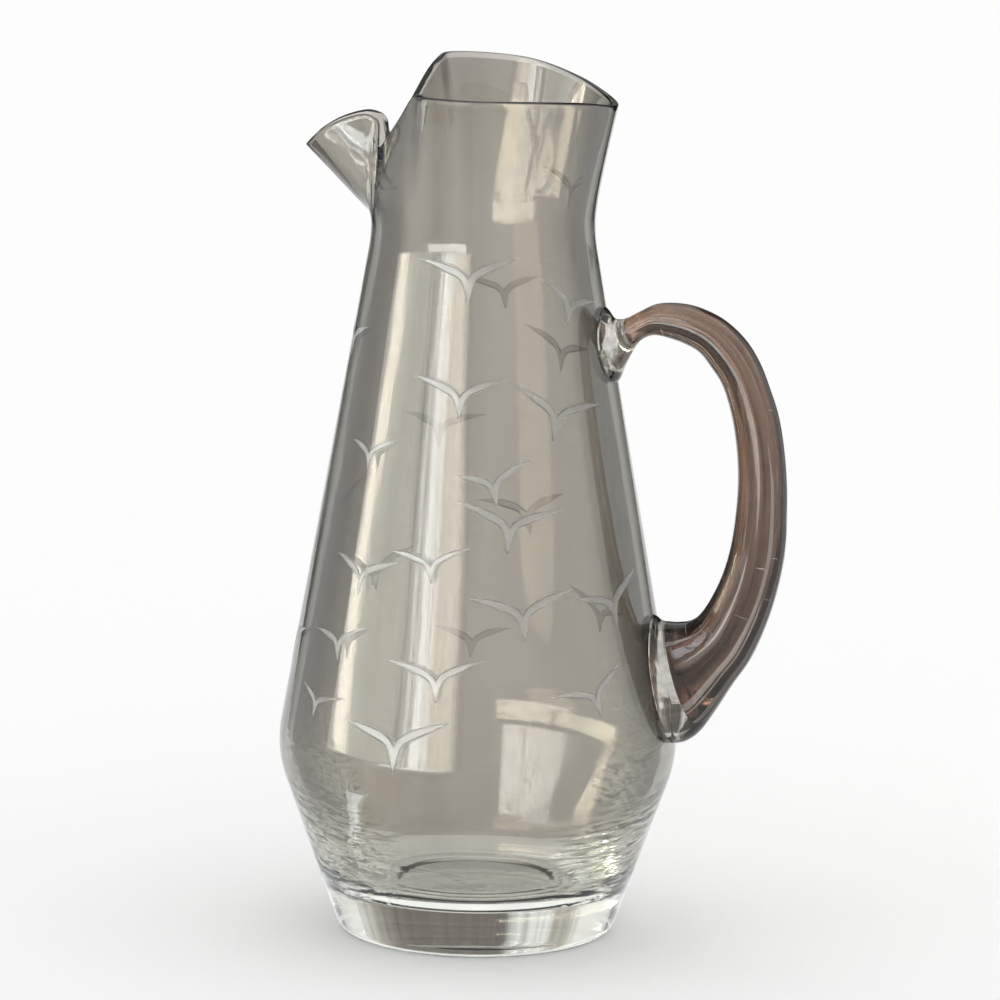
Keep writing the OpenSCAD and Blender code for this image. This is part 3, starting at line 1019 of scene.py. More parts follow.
class Nodes:
    """A material's node tree, with a method for each kind of node that the finishes share."""

    def __init__(self, name: str) -> None:
        """Makes the material.

        Args:
            name: the material's name.
        """
        self.material = bpy.data.materials.new(name)
        self.material.use_nodes = True
        self.nodes = self.material.node_tree.nodes
        self.links = self.material.node_tree.links

    def join(self, entry: Socket, value: Value) -> None:
        """Links a socket to an input, or sets its plain value on it.

        Args:
            entry: the input.
            value: a socket, a number, a vector or a colour of three shares.
        """
        if isinstance(value, Socket):
            self.links.new(value, entry)
        else:
            entry.default_value = (*value, 1) if entry.type == "RGBA" else value

    def feed(self, node: bpy.types.Node, inputs: dict[str | int, Value]) -> Outputs:
        """Joins values to a node's inputs.

        Args:
            node: the node.
            inputs: values by the inputs' names or numbers.

        Returns:
            The node's outputs.
        """
        for key, value in inputs.items():
            self.join(node.inputs[key], value)
        return node.outputs

    def attribute(self, name: str) -> Outputs:
        """Outputs of the points' attribute of that name.

        Args:
            name: the attribute's name.

        Returns:
            The node's outputs.
        """
        node = self.nodes.new("ShaderNodeAttribute")
        node.attribute_name = name
        return node.outputs

    def share(self, name: str) -> Socket:
        """The points' share of that name."""
        return self.attribute(name)["Fac"]

    def place(self) -> Socket:
        """The points' places in the piece's own space."""
        return self.nodes.new("ShaderNodeTexCoord").outputs["Object"]

    def parts(self, vector: Socket) -> Outputs:
        """A vector's X, Y and Z."""
        return self.feed(self.nodes.new("ShaderNodeSeparateXYZ"), {"Vector": vector})

    def noise(
        self, vector: Socket, scale: float = 1.0, detail: float = 2.0, twist: float = 0.0
    ) -> Outputs:
        """Outputs of a noise.

        Args:
            vector: the places that it is read at.
            scale: how many waves to the unit.
            detail: how many finer waves lie on them.
            twist: how far it is pushed about by another noise.

        Returns:
            The node's outputs.
        """
        node = self.nodes.new("ShaderNodeTexNoise")
        inputs = {"Vector": vector, "Scale": scale, "Detail": detail, "Distortion": twist}
        return self.feed(node, inputs)

    def flow_noise(self, scale: tuple, detail: float = 2.0, twist: float = 0.0) -> Outputs:
        """Outputs of a noise over the flow.

        Args:
            scale: how many waves to the unit in each direction.
            detail: how many finer waves lie on them.
            twist: how far it is pushed about by another noise.

        Returns:
            The node's outputs.
        """
        node = self.nodes.new("ShaderNodeMapping")
        outputs = self.feed(node, {"Vector": self.attribute(FLOW)["Vector"], "Scale": scale})
        return self.noise(outputs["Vector"], detail=detail, twist=twist)

    def maths(self, how: str, *values: Value) -> Socket:
        """Result of a maths node.

        Args:
            how: the node's operation.
            values: its inputs, in order.

        Returns:
            The result.
        """
        node = self.nodes.new("ShaderNodeMath")
        node.operation = how
        return self.feed(node, dict(enumerate(values)))["Value"]

    def vector(self, how: str, inputs: dict[str | int, Value]) -> Socket:
        """Result of a maths node for vectors.

        Args:
            how: the node's operation.
            inputs: values by the inputs' names or numbers.

        Returns:
            The resulting vector.
        """
        node = self.nodes.new("ShaderNodeVectorMath")
        node.operation = how
        return self.feed(node, inputs)["Vector"]

    def ramp(
        self,
        value: Socket,
        start: Value,
        stop: Value,
        low: float = 0.0,
        high: float = 1.0,
        smooth: bool = True,
    ) -> Socket:
        """Step from low to high as value goes from start to stop.

        Args:
            value: the value.
            start: where the step starts.
            stop: where it stops.
            low: result at the start.
            high: result at the stop.
            smooth: whether it eases in and out.

        Returns:
            The result.
        """
        node = self.nodes.new("ShaderNodeMapRange")
        node.interpolation_type = "SMOOTHSTEP" if smooth else "LINEAR"
        ends = {"From Min": start, "From Max": stop, "To Min": low, "To Max": high}
        return self.feed(node, {"Value": value, **ends})["Result"]

    def mix(self, share: Socket, a: Value, b: Value, kind: str = "RGBA") -> Socket:
        """Colour or vector between two others.

        Args:
            share: share of the second.
            a: the first.
            b: the second.
            kind: RGBA for colours, VECTOR for vectors.

        Returns:
            The mix.
        """
        node = self.nodes.new("ShaderNodeMix")
        node.data_type = kind
        for name, value in (("A", a), ("B", b)):
            self.join(next(e for e in node.inputs if (e.name, e.type) == (name, kind)), value)
        outputs = self.feed(node, {"Factor": share})
        return next(o for o in outputs if o.type == kind)

    def boosted(self, light: Value, boost: float, walls: int = 0) -> Socket:
        """Light that is stronger for rays out of the tinted glass, which dims them.

        Args:
            light: the plain light.
            boost: how much of it is added for a ray out of the glass.
            walls: walls that the ray must have crossed at least, each of which
                counts as two steps, in and out.

        Returns:
            The light to use.
        """
        path = self.nodes.new("ShaderNodeLightPath").outputs
        out = path["Is Transmission Ray"]
        if walls:
            out = self.maths("GREATER_THAN", path["Transmission Depth"], 2 * walls - 0.5)
        return self.maths("MULTIPLY", light, self.maths("MULTIPLY_ADD", out, boost, 1.0))

    def emission(self, colour: Value, strength: Value) -> Socket:
        """Surface that gives light of a colour and a strength."""
        node = self.nodes.new("ShaderNodeEmission")
        return self.feed(node, {"Color": colour, "Strength": strength})["Emission"]

    def finished(self, ends: dict[str, Socket]) -> bpy.types.Material:
        """The material, with these ends joined to its output."""
        self.feed(self.nodes["Material Output"], ends)
        return self.material


@dataclass(frozen=True)
class Waves:
    """Waves of a surface: how many to the metre round and along the glass, and their height."""

    round_scale: float
    along_scale: float
    height: float
    detail: float = 2.0
    wild_only: bool = False


@dataclass(frozen=True)
class Streaks:
    """Streaks in a tint: how many to the metre round and along the glass, and how deep."""

    round_scale: float
    along_scale: float
    depth: float


@dataclass(frozen=True)
class GlassFinish:
    """A glass: tint for each wall, refraction, and the waves that drawing left in it.

    The tint deepens to edge_tint where the wall is seen at a slant, as the
    way through it grows, and by rim_share towards the collar's rim. Painted
    shade lines run along the outlines.
    """

    name: str
    tint: tuple
    edge_tint: tuple
    ior: float
    waves: tuple
    roughness: float = 0.0
    absorb: tuple = (1.0, 1.0, 1.0)
    density: float = 0.0
    transmission: float = 1.0
    streaks: Streaks = Streaks(40, 4, 0.06)
    streak_ends: tuple = (0.36, 0.64)
    slant_ends: tuple = (0.2, 0.58)
    # The next three paint shade lines along the outlines.
    line_outside: tuple = (0.93, 0.99)
    line_inside: tuple = (0.68, 0.86)
    line_depth: float = 0.9
    # Depth of the painted shade lines at the floor's rings.
    ring_line_share: float = 0.5
    # The clear foot's tint, which also colours the painted highlight lines at the floor's rings.
    clear_and_highlight_tint: tuple = (0.92, 0.92, 0.89)
    crinkle: Streaks | None = None
    # Colours of the crinkle: painted shade and painted highlights in the body and casing, and the
    # rod's own swirl.
    crinkle_shade_and_swirl: tuple = (0.16, 0.16, 0.12)
    crinkle_highlight_and_swirl: tuple = (0.97, 1.0, 0.90)
    crinkle_slants: tuple = (0.22, 0.42)
    crinkle_detail: float = 3.0
    crinkle_twist: float = 2.2
    crinkle_ends: tuple = (0.40, 0.53)
    # Pale dashes: scratches painted bright as glints in the casing, painted highlights in the rod.
    marks_and_glints: Streaks | None = None
    mark_share: float = 0.70
    mark_edge: float = 0.03
    mark_detail: float = 1.0
    mark_and_glint_tint: tuple = (0.85, 0.83, 0.79)
    rim_share: float = 1.0
    rim_ends: tuple = (236.0, 264.0)
    spout_ends: tuple = (-22.0, -42.0)

    def _noise(
        self, tree: Nodes, grain: Waves | Streaks, detail: float = 2.0, twist: float = 0.0
    ) -> Socket:
        """Noise over the flow.

        Args:
            tree: the finish's nodes.
            grain: how many waves it has to the metre each way.
            detail: how many finer waves lie on them.
            twist: how far it is pushed about by another noise.

        Returns:
            The noise.
        """
        round_scale, along_scale = grain.round_scale * MM, grain.along_scale * MM
        return tree.flow_noise((round_scale, round_scale, along_scale), detail, twist)["Fac"]

    def _bump(self, tree: Nodes, wild: bool) -> Socket:
        """Normal of the surface with its waves.

        Args:
            tree: the finish's nodes.
            wild: whether the wild waves are among them.

        Returns:
            The normal.
        """
        total = 0.0
        for wave in self.waves:
            if wave.wild_only and not wild:
                continue
            height = self._noise(tree, wave, wave.detail)
            height = tree.maths("MULTIPLY", height, wave.height * MM)
            if wave.wild_only:
                height = tree.maths("MULTIPLY", height, tree.share(WILD))
            total = tree.maths("ADD", height, total)
        node = tree.nodes.new("ShaderNodeBump")
        return tree.feed(node, {"Distance": 1.0, "Height": total})["Normal"]

    def _normal(self, tree: Nodes) -> Socket:
        """Normal with all waves; the wild ones come in only where the glass is at a slant.

        Args:
            tree: the finish's nodes.

        Returns:
            The normal.
        """
        calm = self._bump(tree, wild=False)
        if not any(wave.wild_only for wave in self.waves):
            return calm
        share = tree.ramp(self._facing(tree, calm), *self.crinkle_slants)
        return tree.mix(share, calm, self._bump(tree, wild=True), "VECTOR")

    def _facing(self, tree: Nodes, normal: Socket) -> Socket:
        """How much the surface is seen at a slant: 0 face on, 1 at its outline."""
        node = tree.nodes.new("ShaderNodeLayerWeight")
        return tree.feed(node, {"Blend": 0.5, "Normal": normal})["Facing"]

    def _outline(self, tree: Nodes, facing: Socket) -> Socket:
        """How dark the painted shade lines along the outlines of both skins are.

        Args:
            tree: the finish's nodes.
            facing: how much the surface is seen at a slant.

        Returns:
            The share of dark.
        """
        inner = tree.share(INNER)
        ends = []
        for outside, inside in zip(self.line_outside, self.line_inside):
            end = tree.maths("MULTIPLY", inner, inside - outside)
            ends.append(tree.maths("ADD", end, outside))
        line = tree.ramp(facing, *ends, 0.0, self.line_depth)
        return tree.maths("MULTIPLY", line, tree.share(SLANT))

    def _crinkled(self, tree: Nodes, facing: Socket, tint: Socket) -> Socket:
        """Tint with painted highlights and shade of crinkled glass at a slant; in the rod, its own
        swirl.

        Args:
            tree: the finish's nodes.
            facing: how much the surface is seen at a slant.
            tint: the tint without them.

        Returns:
            The tint.
        """
        noise = self._noise(tree, self.crinkle, self.crinkle_detail, self.crinkle_twist)
        light = tree.ramp(noise, *self.crinkle_ends)
        feather = tree.mix(light, self.crinkle_shade_and_swirl, self.crinkle_highlight_and_swirl)
        share = tree.ramp(facing, *self.crinkle_slants, 0.0, self.crinkle.depth)
        return tree.mix(tree.maths("MULTIPLY", share, tree.share(WILD)), tint, feather)

    def _rim_shade(self, tree: Nodes) -> Socket:
        """How much of the tint's light is left towards the collar's rim, but not in the spout.

        Args:
            tree: the finish's nodes.

        Returns:
            The share of light.
        """
        parts = tree.parts(tree.place())
        rim_from, rim_to = (z * MM for z in self.rim_ends)
        spout_from, spout_to = (x * MM for x in self.spout_ends)
        rise = tree.ramp(parts["Z"], rim_from, rim_to, 1.0, self.rim_share)
        return tree.maths("MAXIMUM", rise, tree.ramp(parts["X"], spout_from, spout_to))

    def _tint(self, tree: Nodes, normal: Socket) -> Socket:
        """Tint of a wall: deeper at a slant, towards the rim, in streaks, with painted shade along
        outlines.

        Args:
            tree: the finish's nodes.
            normal: the surface's normal.

        Returns:
            The tint.
        """
        facing = self._facing(tree, normal)
        slant = tree.maths("MULTIPLY", tree.ramp(facing, *self.slant_ends), tree.share(SLANT))
        tint = tree.mix(slant, self.tint, self.edge_tint)
        # The clear share also carries the painted highlight lines at the floor's rings.
        tint = tree.mix(tree.share(CLEAR), tint, self.clear_and_highlight_tint)
        if self.crinkle:
            tint = self._crinkled(tree, facing, tint)
        streak = self._noise(tree, self.streaks)
        # Streaks are the glass's own tone; the ring lines and the outline darken it as painted
        # shade.
        shades = (
            tree.ramp(streak, *self.streak_ends, 1.0, 1 - self.streaks.depth),
            tree.ramp(tree.share(LINE), 0.0, 1.0, 1.0, self.ring_line_share),
            tree.maths("SUBTRACT", 1.0, self._outline(tree, facing)),
        )
        total = self._rim_shade(tree)
        for shade in shades:
            total = tree.maths("MULTIPLY", total, shade)
        return tree.vector("SCALE", {0: tint, "Scale": total})

    def _marked_and_glinting(self, tree: Nodes, glass: bpy.types.Node, tint: Socket) -> Socket:
        """Tint with short pale dashes, in which the glass also stops being clear.

        In the casing they are scratches painted bright as glints; in the rod
        they are painted highlights.

        Args:
            tree: the finish's nodes.
            glass: the glass's own node.
            tint: the tint without them.

        Returns:
            The tint.
        """
        noise = self._noise(tree, self.marks_and_glints, self.mark_detail)
        ends = (self.mark_share, self.mark_share + self.mark_edge)
        mark_and_glint = tree.ramp(noise, *ends, 0.0, self.marks_and_glints.depth)
        clear = tree.maths("SUBTRACT", self.transmission, mark_and_glint)
        tree.feed(glass, {"Transmission Weight": clear})
        return tree.mix(mark_and_glint, tint, self.mark_and_glint_tint)

    def build(self) -> bpy.types.Material:
        """The finish as a procedural node material.

        Returns:
            The material.
        """
        tree = Nodes(self.name)
        glass = tree.nodes["Principled BSDF"]
        tree.feed(glass, {"Roughness": self.roughness, "IOR": self.ior})
        tree.feed(glass, {"Transmission Weight": self.transmission})
        normal = self._normal(tree)
        tint = self._tint(tree, normal)
        if self.marks_and_glints:
            tint = self._marked_and_glinting(tree, glass, tint)
        tree.feed(glass, {"Normal": normal, "Base Color": tint})
        if not self.density:
            return tree.material
        inside = tree.nodes.new("ShaderNodeVolumeAbsorption")
        volume = tree.feed(inside, {"Color": self.absorb, "Density": self.density})
        return tree.finished({"Volume": volume["Volume"]})


# The body's grey tint is painted shade: the glass itself is clear, and the grey stands in for the
# grey room seen through it.
BODY_GLASS = GlassFinish(
    "clear_glass_painted_grey",
    tint=(0.615, 0.59, 0.54),
    edge_tint=(0.15, 0.145, 0.13),
    ior=1.5,
    waves=(Waves(60, 14, 0.10), Waves(320, 22, 0.02), Waves(110, 420, 0.8, 3.0, wild_only=True)),
    absorb=(0.55, 0.52, 0.40),
    density=5,
    rim_share=0.93,
    rim_ends=(240.0, 256.0),
    streaks=Streaks(60, 3, 0.13),
    # The crinkle paints highlights and shade on the lower walls where they are seen at a slant.
    crinkle=Streaks(100, 420, 1.0),
)
CASING_GLASS = GlassFinish(
    "clear_casing_glass",
    tint=(0.80, 0.77, 0.74),
    edge_tint=(0.22, 0.18, 0.16),
    ior=1.5,
    waves=(Waves(260, 10, 0.16), Waves(900, 30, 0.03)),
    absorb=(0.2, 0.18, 0.1),
    density=10,
    streaks=Streaks(600, 12, 0.4),
    # The casing's crinkle paints highlights and shade near its seats on the body.
    crinkle=Streaks(900, 22, 0.9),
    crinkle_shade_and_swirl=(0.50, 0.47, 0.41),
    crinkle_slants=(-0.2, 0.1),
    # Pale cross dashes: scratches, painted bright as glints.
    marks_and_glints=Streaks(110, 1500, 0.45),
    mark_share=0.75,
)
ROD_GLASS = GlassFinish(
    "rose_glass",
    tint=(0.97, 0.90, 0.86),
    edge_tint=(0.26, 0.17, 0.12),
    ior=1.10,
    waves=(Waves(420, 14, 0.6), Waves(1500, 60, 0.08)),
    absorb=(0.49, 0.29, 0.14),
    density=132,
    streaks=Streaks(300, 9, 0.8),
    # Pale long dashes: painted highlights along the rod.
    marks_and_glints=Streaks(640, 11, 0.55),
    mark_share=0.585,
    # The rod's crinkle is its own orange swirl, strongest near its ends.
    crinkle=Streaks(160, 120, 0.85),
    crinkle_shade_and_swirl=(0.86, 0.44, 0.24),
    crinkle_highlight_and_swirl=(1.0, 0.84, 0.70),
    crinkle_slants=(-0.2, 0.1),
)
FROST = GlassFinish(
    "frosted_cut",
    tint=(0.96, 0.96, 0.945),
    edge_tint=(0.94, 0.94, 0.925),
    ior=1.35,
    waves=(Waves(900, 900, 0.01),),
    roughness=0.4,
    transmission=0.92,
    line_depth=0.0,
    streaks=Streaks(1200, 1200, 0.06),
)


@dataclass(frozen=True)
class FloorFinish:
    """Plain pale floor with a faint grain."""

    name: str = "pale_floor"
    colour: tuple = (0.99, 0.99, 0.987)
    grain: float = 0.01
    grain_scale: float = 3.0
    roughness: float = 0.9

    def build(self) -> bpy.types.Material:
        """The floor's node material.

        Returns:
            The material.
        """
        tree = Nodes(self.name)
        noise = tree.noise(tree.place(), self.grain_scale)["Fac"]
        tone = tree.ramp(noise, 0.0, 1.0, 1 - self.grain, 1.0, smooth=False)
        paint = {"Base Color": tree.vector("SCALE", {0: self.colour, "Scale": tone})}
        paint |= {"Roughness": self.roughness, "Specular IOR Level": 0.0}
        tree.feed(tree.nodes["Principled BSDF"], paint)
        return tree.material


@dataclass(frozen=True)
class CardFinish:
    """Dark card whose front edge fades into the pale surroundings."""

    name: str = "dark_card"
    dark: float = 0.04
    fade_from: float = 150.0
    fade_to: float = 520.0

    def build(self) -> bpy.types.Material:
        """The card's node material: its light falls with the depth in its flow.

        Returns:
            The material.
        """
        tree = Nodes(self.name)
        depth = tree.parts(tree.attribute(FLOW)["Vector"])["X"]
        fade = tree.ramp(depth, self.fade_from, self.fade_to, 1.0, self.dark)
        return tree.finished({"Surface": tree.emission((1.0, 1.0, 1.0), fade)})


@dataclass(frozen=True)
class GlowFinish:
    """Even card of light, with a soft grain."""

    name: str
    colour: tuple
    light: float
    boost: float = 0.0
    walls: int = 0
    grain: float = 0.3
    grain_scale: float = 5.0

    def build(self) -> bpy.types.Material:
        """The card's node material.

        Returns:
            The material.
        """
        tree = Nodes(self.name)
        tree.material.cycles.emission_sampling = "NONE"
        noise = tree.noise(tree.place(), self.grain_scale)["Fac"]
        low, high = self.light * (1 - self.grain), self.light * (1 + self.grain)
        light = tree.ramp(noise, 0.0, 1.0, low, high, smooth=False)
        glow = tree.emission(self.colour, tree.boosted(light, self.boost, self.walls))
        return tree.finished({"Surface": glow})


WHITE = (0.96, 0.99, 1.0)
CREAM = (1.0, 0.96, 0.86)
SAGE = (0.93, 0.99, 0.93)
COOL = (0.84, 0.91, 1.0)
BROWN = (1.0, 0.88, 0.76)
WARM_GREY = (1.0, 0.96, 0.89)


@dataclass(frozen=True)
class Band:
    """A band of the window: heights in degrees, light, and stops of bearing, share and colour."""

    low: float
    high: float
    light: float
    stops: tuple
    fade: float = 1.5
    deep: float = 0.0


@dataclass(frozen=True)
class WindowFinish:
    """Window whose panes differ in light; the card's flow holds bearing and height in degrees."""

    bands: tuple
    first: float
    last: float
    name: str = "window_light"
    boost: float = 5.0
    wall: float = 0.0
    ragged: float = 0.0
    ragged_scale: tuple = (0.06, 0.9, 1.0)
    uneven_scale: tuple = (0.45, 0.05, 1.0)
    uneven_ends: tuple = (0.3, 0.7)
    uneven_light: tuple = (0.72, 1.25)
    deep_walls: int = 2

    def _band(self, tree: Nodes, parts: Outputs, band: Band) -> Socket:
        """Colour of one band: its stops over the bearing, within its heights.

        Args:
            tree: the finish's nodes.
            parts: bearing and height.
            band: the band.

        Returns:
            The colour.
        """
        aside = self.ragged / 2
        ends = (self.first + aside, self.last + aside)
        along = tree.ramp(parts["X"], *ends, smooth=False)
        colours = tree.nodes.new("ShaderNodeValToRGB")
        stops = colours.color_ramp.elements
        for k, (bearing, share, colour) in enumerate(band.stops):
            at = (bearing - self.first) / (self.last - self.first)
            stop = stops[k] if k < 2 else stops.new(at)
            stop.position = at
            stop.color = (*(share * c for c in colour), 1)
        colour = tree.feed(colours, {"Fac": along})["Color"]
        low = tree.ramp(parts["Y"], band.low, band.low + band.fade, 0.0, band.light)
        high = tree.ramp(parts["Y"], band.high, band.high - band.fade)
        light = tree.boosted(tree.maths("MULTIPLY", low, high), band.deep, self.deep_walls)
        return tree.vector("SCALE", {0: colour, "Scale": light})

    def build(self) -> bpy.types.Material:
        """The window's node material; a noise makes its panes ragged, as wavy glass does.

        Returns:
            The material.
        """
        tree = Nodes(self.name)
        tree.material.cycles.emission_sampling = "NONE"
        wobble = tree.flow_noise(self.ragged_scale)["Color"]
        flow = tree.attribute(FLOW)["Vector"]
        moved = tree.vector("MULTIPLY_ADD", {0: wobble, 1: (self.ragged, 0.0, 0.0), 2: flow})
        parts = tree.parts(moved)
        panes, *others = [self._band(tree, parts, band) for band in self.bands]
        for other in others:
            panes = tree.vector("ADD", {0: panes, 1: other})
        noise = tree.flow_noise(self.uneven_scale)["Fac"]
        uneven = tree.ramp(noise, *self.uneven_ends, *self.uneven_light, smooth=False)
        glow = tree.emission(panes, tree.boosted(uneven, self.boost))
        plain = tree.emission(WHITE, self.wall)
        both = tree.feed(tree.nodes.new("ShaderNodeAddShader"), {0: glow, 1: plain})
        return tree.finished({"Surface": both["Shader"]})


def tinted(colour: tuple, *pairs: tuple) -> tuple:
    """Stops of one colour from pairs of bearing and share."""
    return tuple((bearing, share, colour) for bearing, share in pairs)


LOW_BAND = Band(
    low=-3.5,
    high=12.8,
    light=3.4,
    stops=(
        *tinted(CREAM, (-99, 0.0), (-96, 0.95), (-88, 0.95)),
        *tinted(SAGE, (-85, 0.30), (-78, 0.24), (-70, 0.16), (-60, 0.22)),
        *tinted(SAGE, (-53, 0.30), (-51, 0.04), (-48, 0.04)),
        *tinted(WHITE, (-46.5, 0.6), (-43.5, 0.6), (-42.5, 0.2), (-41, 0.25)),
        *tinted(WHITE, (-40, 1.1), (-34.5, 1.1), (-33.5, 0.45), (-32.5, 0.85)),
        *tinted(CREAM, (-30, 0.62), (-18, 0.50), (-14.5, 0.3), (-11, 0.0)),
    ),
    fade=1.0,
    deep=3.0,
)
HIGH_BAND = Band(
    low=17.5,
    high=33,
    light=5.4,
    stops=(
        *tinted(COOL, (-74, 0.0), (-72, 0.12), (-64, 0.1), (-61, 0.5), (-48, 0.7)),
        *tinted(COOL, (-46.5, 0.35), (-45, 0.9), (-36, 1.0), (-35, 0.3), (-33, 0.3)),
        *tinted(COOL, (-32, 1.0), (-20, 0.85), (-17, 0.0)),
    ),
)
BACK_BAND = Band(
    low=-6,
    high=30,
    light=1.0,
    stops=(
        *tinted(WHITE, (139, 1.0)),
        *tinted(CREAM, (146, 0.55)),
        *tinted(BROWN, (154, 0.26), (158, 0.17), (187.5, 0.17)),
        *tinted(WHITE, (189.5, 0.75), (191.5, 1.15), (193.5, 0.65), (195.5, 1.1), (200, 1.0)),
        *tinted(CREAM, (202, 0.55), (206, 0.38), (209, 0.75)),
        *tinted(WHITE, (214, 1.0)),
    ),
    fade=0.01,
)


# --------------------------------------------------------------------------
# Studio
# --------------------------------------------------------------------------


@dataclass(frozen=True)
class Patch:
    """A lit or shaded patch of the table; its outline holds bearings and distances."""

    name: str
    outline: tuple
    finish: GlowFinish
    height: float = 2.0


PATCHES = (
    Patch(
        "table_glow",
        ((-70, 84), (-52, 84), (-38, 120), (-38, 520), (-70, 520)),
        GlowFinish("table_light", CREAM, 0.8, 6.5, walls=2),
    ),
    Patch(
        "sharp_glow",
        ((-70, 82), (-67, 82), (-59, 138), (-70, 150)),
        GlowFinish("sharp_light", WHITE, 4.6),
        height=2.5,
    ),
    Patch(
        "middle_glow",
        ((-63, 521), (-12, 400), (-12, 1000), (-63, 1000)),
        GlowFinish("middle_light", WHITE, 0.9, 24.0, walls=2),
    ),
    Patch(
        "far_glow",
        ((-60, 1150), (-50, 1020), (-38, 980), (-26, 1020), (-18, 1150), (-18, 2390), (-60, 2390)),
        GlowFinish("far_light", WHITE, 2.3, 6.5),
    ),
    Patch(
        "back_shade",
        ((168, 1130), (192, 1130), (192, 1470), (168, 1470)),
        GlowFinish("back_shade", WARM_GREY, 0.57, 0.68, walls=2),
    ),
)
Finish = FloorFinish | CardFinish | GlowFinish | WindowFinish


def stage_piece(
    name: str, corners: list, faces: list, finish: Finish, flow: list | None = None
) -> bpy.types.Object:
    """Flat or curved piece of the stage.

    Args:
        name: the piece's name.
        corners: its points in metres.
        faces: its faces.
        finish: its finish.
        flow: flow of its points, if the finish reads one.

    Returns:
        The object, linked to the scene.
    """
    mesh = bpy.data.meshes.new(name)
    mesh.from_pydata([tuple(c) for c in corners], [], faces)
    if flow is not None:
        run = mesh.attributes.new(FLOW, "FLOAT_VECTOR", "POINT")
        run.data.foreach_set("vector", np.array(flow, dtype=np.float32).ravel())
    piece = bpy.data.objects.new(name, mesh)
    piece.data.materials.append(finish.build())
    bpy.context.scene.collection.objects.link(piece)
    return piece


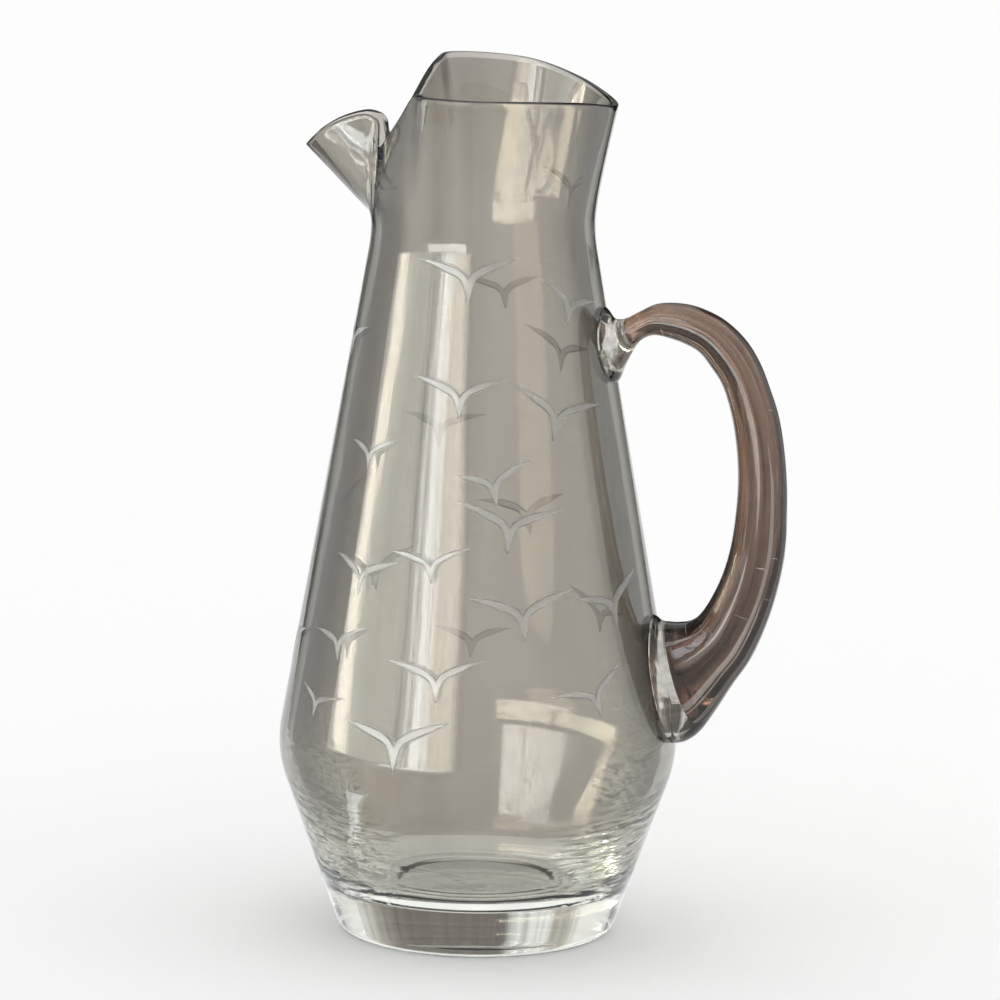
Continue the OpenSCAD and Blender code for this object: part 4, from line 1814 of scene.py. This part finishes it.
@dataclass
class Studio:
    """Camera, pale floor, even surroundings and the window that shows in the glass."""

    azimuth: float = 11.3
    elevation: float = 12.95
    roll: float = 0.647
    distance: float = 5600.0
    scale: float = 0.3125
    target_z: float = 136.0
    shift_right: float = 6.17
    shift_up: float = 1.0
    pixels: int = 1000
    sensor: float = 36.0
    clip_end: float = 100000.0
    window_distance: float = 2400.0
    floor_size: float = 16000.0
    floor_gap: float = 0.05
    sky: float = 1.0
    flag_distance: float = 330.0
    flag_depth: float = 2200.0
    flag_height: float = 900.0
    window_bearings: tuple = (-104.0, -8.0)
    window_rises: tuple = (-4.0, 36.0)
    window_wall: float = 0.75
    window_ragged: float = 3.0
    back_bearings: tuple = (139.0, 214.0)
    back_rises: tuple = (-5.0, 28.0)
    back_distance: float = 1500.0
    card_step: float = 1.5
    glow_r: float = 75.0
    glow_drop: float = 0.02
    glow_corners: int = 48
    glow_light: float = 1.25

    def _toward(self, bearing: float, rise: float) -> Vector:
        """Direction at a bearing from the camera's side, right positive, and a height angle."""
        a, e = math.radians(bearing + self.azimuth), math.radians(rise)
        return Vector((math.sin(a) * math.cos(e), -math.cos(a) * math.cos(e), math.sin(e)))

    def _right(self) -> Vector:
        """The camera's right before its roll."""
        a = math.radians(self.azimuth)
        return Vector((math.cos(a), math.sin(a), 0))

    def camera(self) -> None:
        """The camera at the photograph's viewing angle."""
        back, right = self._toward(0.0, self.elevation), self._right()
        up = back.cross(right)
        c, s = math.cos(math.radians(self.roll)), math.sin(math.radians(self.roll))
        right, up = right * c + up * s, up * c - right * s
        aim = Vector((0, 0, self.target_z)) + right * self.shift_right + up * self.shift_up
        data = bpy.data.cameras.new("camera")
        data.sensor_width = self.sensor
        data.lens = self.distance * self.sensor / (self.scale * self.pixels)
        data.clip_end = self.clip_end * MM
        data.dof.use_dof = False
        camera = bpy.data.objects.new("camera", data)
        turn = Matrix((right, up, back)).transposed().to_4x4()
        camera.matrix_world = Matrix.Translation((aim + back * self.distance) * MM) @ turn
        bpy.context.scene.collection.objects.link(camera)
        bpy.context.scene.camera = camera

    def floor(self) -> None:
        """A plain pale floor that reaches past the frame."""
        half, z = self.floor_size * MM / 2, -self.floor_gap * MM
        corners = [(-half, -half, z), (half, -half, z), (half, half, z), (-half, half, z)]
        floor = stage_piece("floor", corners, [(0, 1, 2, 3)], FloorFinish())

    def flag(self, side: int) -> None:
        """A dark card beside the view, seen only in reflections, that draws the dark edges.

        Args:
            side: 1 for the right, -1 for the left.
        """
        back, start = self._toward(0.0, 0.0), self._right() * side * self.flag_distance
        depth, height = self.flag_depth, self.flag_height
        flow = [(0.0, 0.0, 0.0), (depth, 0.0, 0.0), (depth, height, 0.0), (0.0, height, 0.0)]
        corners = [(start - back * d + Vector((0, 0, h))) * MM for d, h, _ in flow]
        name = "flag_left" if side < 0 else "flag_right"
        flag = stage_piece(name, corners, [(0, 1, 2, 3)], CardFinish(), flow)
        flag.visible_camera = flag.visible_diffuse = False
        flag.visible_shadow = flag.visible_transmission = False

    def _spot(self, bearing: float, rise: float, distance: float) -> Vector:
        """Point in metres at a bearing, a height angle and a distance from the pitcher."""
        return (Vector((0, 0, self.target_z)) + self._toward(bearing, rise) * distance) * MM

    def _card(self, name: str, corners: list, faces: list, finish: Finish, flow: list) -> None:
        """A card that only reflections and refractions show.

        Args:
            name: the card's name.
            corners: its points in metres.
            faces: its faces.
            finish: its finish.
            flow: flow of its points.
        """
        card = stage_piece(name, corners, faces, finish, flow)
        card.visible_camera = card.visible_diffuse = card.visible_shadow = False

    def _curved_card(self, finish: WindowFinish, rises: tuple, distance: float) -> None:
        """A card curved round the pitcher; its flow holds bearing and height angle.

        Args:
            finish: the window, with its first and last bearing.
            rises: the lowest and highest height angle.
            distance: how far away it stands.
        """
        step = self.card_step
        bearings = np.arange(finish.first, finish.last + step, step)
        heights = np.arange(rises[0], rises[1] + step, step)
        flow = [(b, r, 0.0) for r in heights for b in bearings]
        corners = [self._spot(b, r, distance) for b, r, _ in flow]
        n = len(bearings)
        j, i = np.meshgrid(np.arange(len(heights) - 1) * n, np.arange(n - 1), indexing="ij")
        a = (i + j).ravel()
        faces = np.stack([a, a + 1, a + n + 1, a + n], 1).tolist()
        self._card(finish.name, corners, faces, finish, flow)

    def table_patch(self, patch: Patch) -> None:
        """A lit or shaded patch of the table.

        Args:
            patch: the patch.
        """
        spots = [self._spot(bearing, 0, distance) for bearing, distance in patch.outline]
        corners = [Vector((spot.x, spot.y, patch.height * MM)) for spot in spots]
        self._card(patch.name, corners, [tuple(range(len(corners)))], patch.finish, corners)

    def base_glow(self) -> None:
        """The light that the solid foot gathers on the table beneath it."""
        turns = np.linspace(0, 2 * math.pi, self.glow_corners, endpoint=False)
        drop = Vector((0, 0, self.glow_drop * MM))
        corners = [Vector((math.cos(t), math.sin(t), 0)) * self.glow_r * MM - drop for t in turns]
        finish = GlowFinish("base_light", WHITE, self.glow_light)
        self._card("base_glow", corners, [tuple(range(len(corners)))], finish, corners)

    def world(self) -> None:
        """Even white surroundings."""
        world = bpy.data.worlds.new("studio")
        bpy.context.scene.world = world
        world.use_nodes = True
        sky = world.node_tree.nodes["Background"]
        sky.inputs["Color"].default_value = (1, 1, 1, 1)
        sky.inputs["Strength"].default_value = self.sky

    def build(self) -> None:
        """Sets the whole stage."""
        self.camera()
        self.floor()
        self.world()
        self.flag(-1)
        self.flag(1)
        window = WindowFinish(
            (LOW_BAND, HIGH_BAND),
            *self.window_bearings,
            wall=self.window_wall,
            ragged=self.window_ragged,
        )
        self._curved_card(window, self.window_rises, self.window_distance)
        behind = WindowFinish((BACK_BAND,), *self.back_bearings, name="back_light", boost=0.0)
        self._curved_card(behind, self.back_rises, self.back_distance)
        for patch in PATCHES:
            self.table_patch(patch)
        self.base_glow()
        bpy.context.scene.view_settings.view_transform = "Standard"


# --------------------------------------------------------------------------
# Assembly
# --------------------------------------------------------------------------


class Slot(Enum):
    """Material slots of the record."""

    CLEAR = "clear_glass"
    CASING = "casing_glass"
    ROSE = "rose_glass"


def place(piece: bpy.types.Object, finish: GlassFinish, node: str = "") -> None:
    """Gives a piece its finish and its body, and hides the CAD node it stands for.

    Args:
        piece: the piece.
        finish: its finish.
        node: the CAD node, or nothing where it stands for none.
    """
    piece.data.materials.append(finish.build())
    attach(piece, "root")
    if node:
        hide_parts(node)


def main() -> None:
    """Builds the pitcher and its studio."""
    logging.basicConfig(level=logging.INFO, format="%(name)s: %(message)s")
    body = BlownBody()
    handle = Handle(body)
    place(body.build(), BODY_GLASS, "body")
    place(handle.build_casing(), CASING_GLASS, "handle_casing")
    place(handle.build_rod(), ROD_GLASS, "handle_core")
    place(Flock(body, GULLS).build(), FROST)
    Studio().build()


if __name__ == "__main__":
    main()
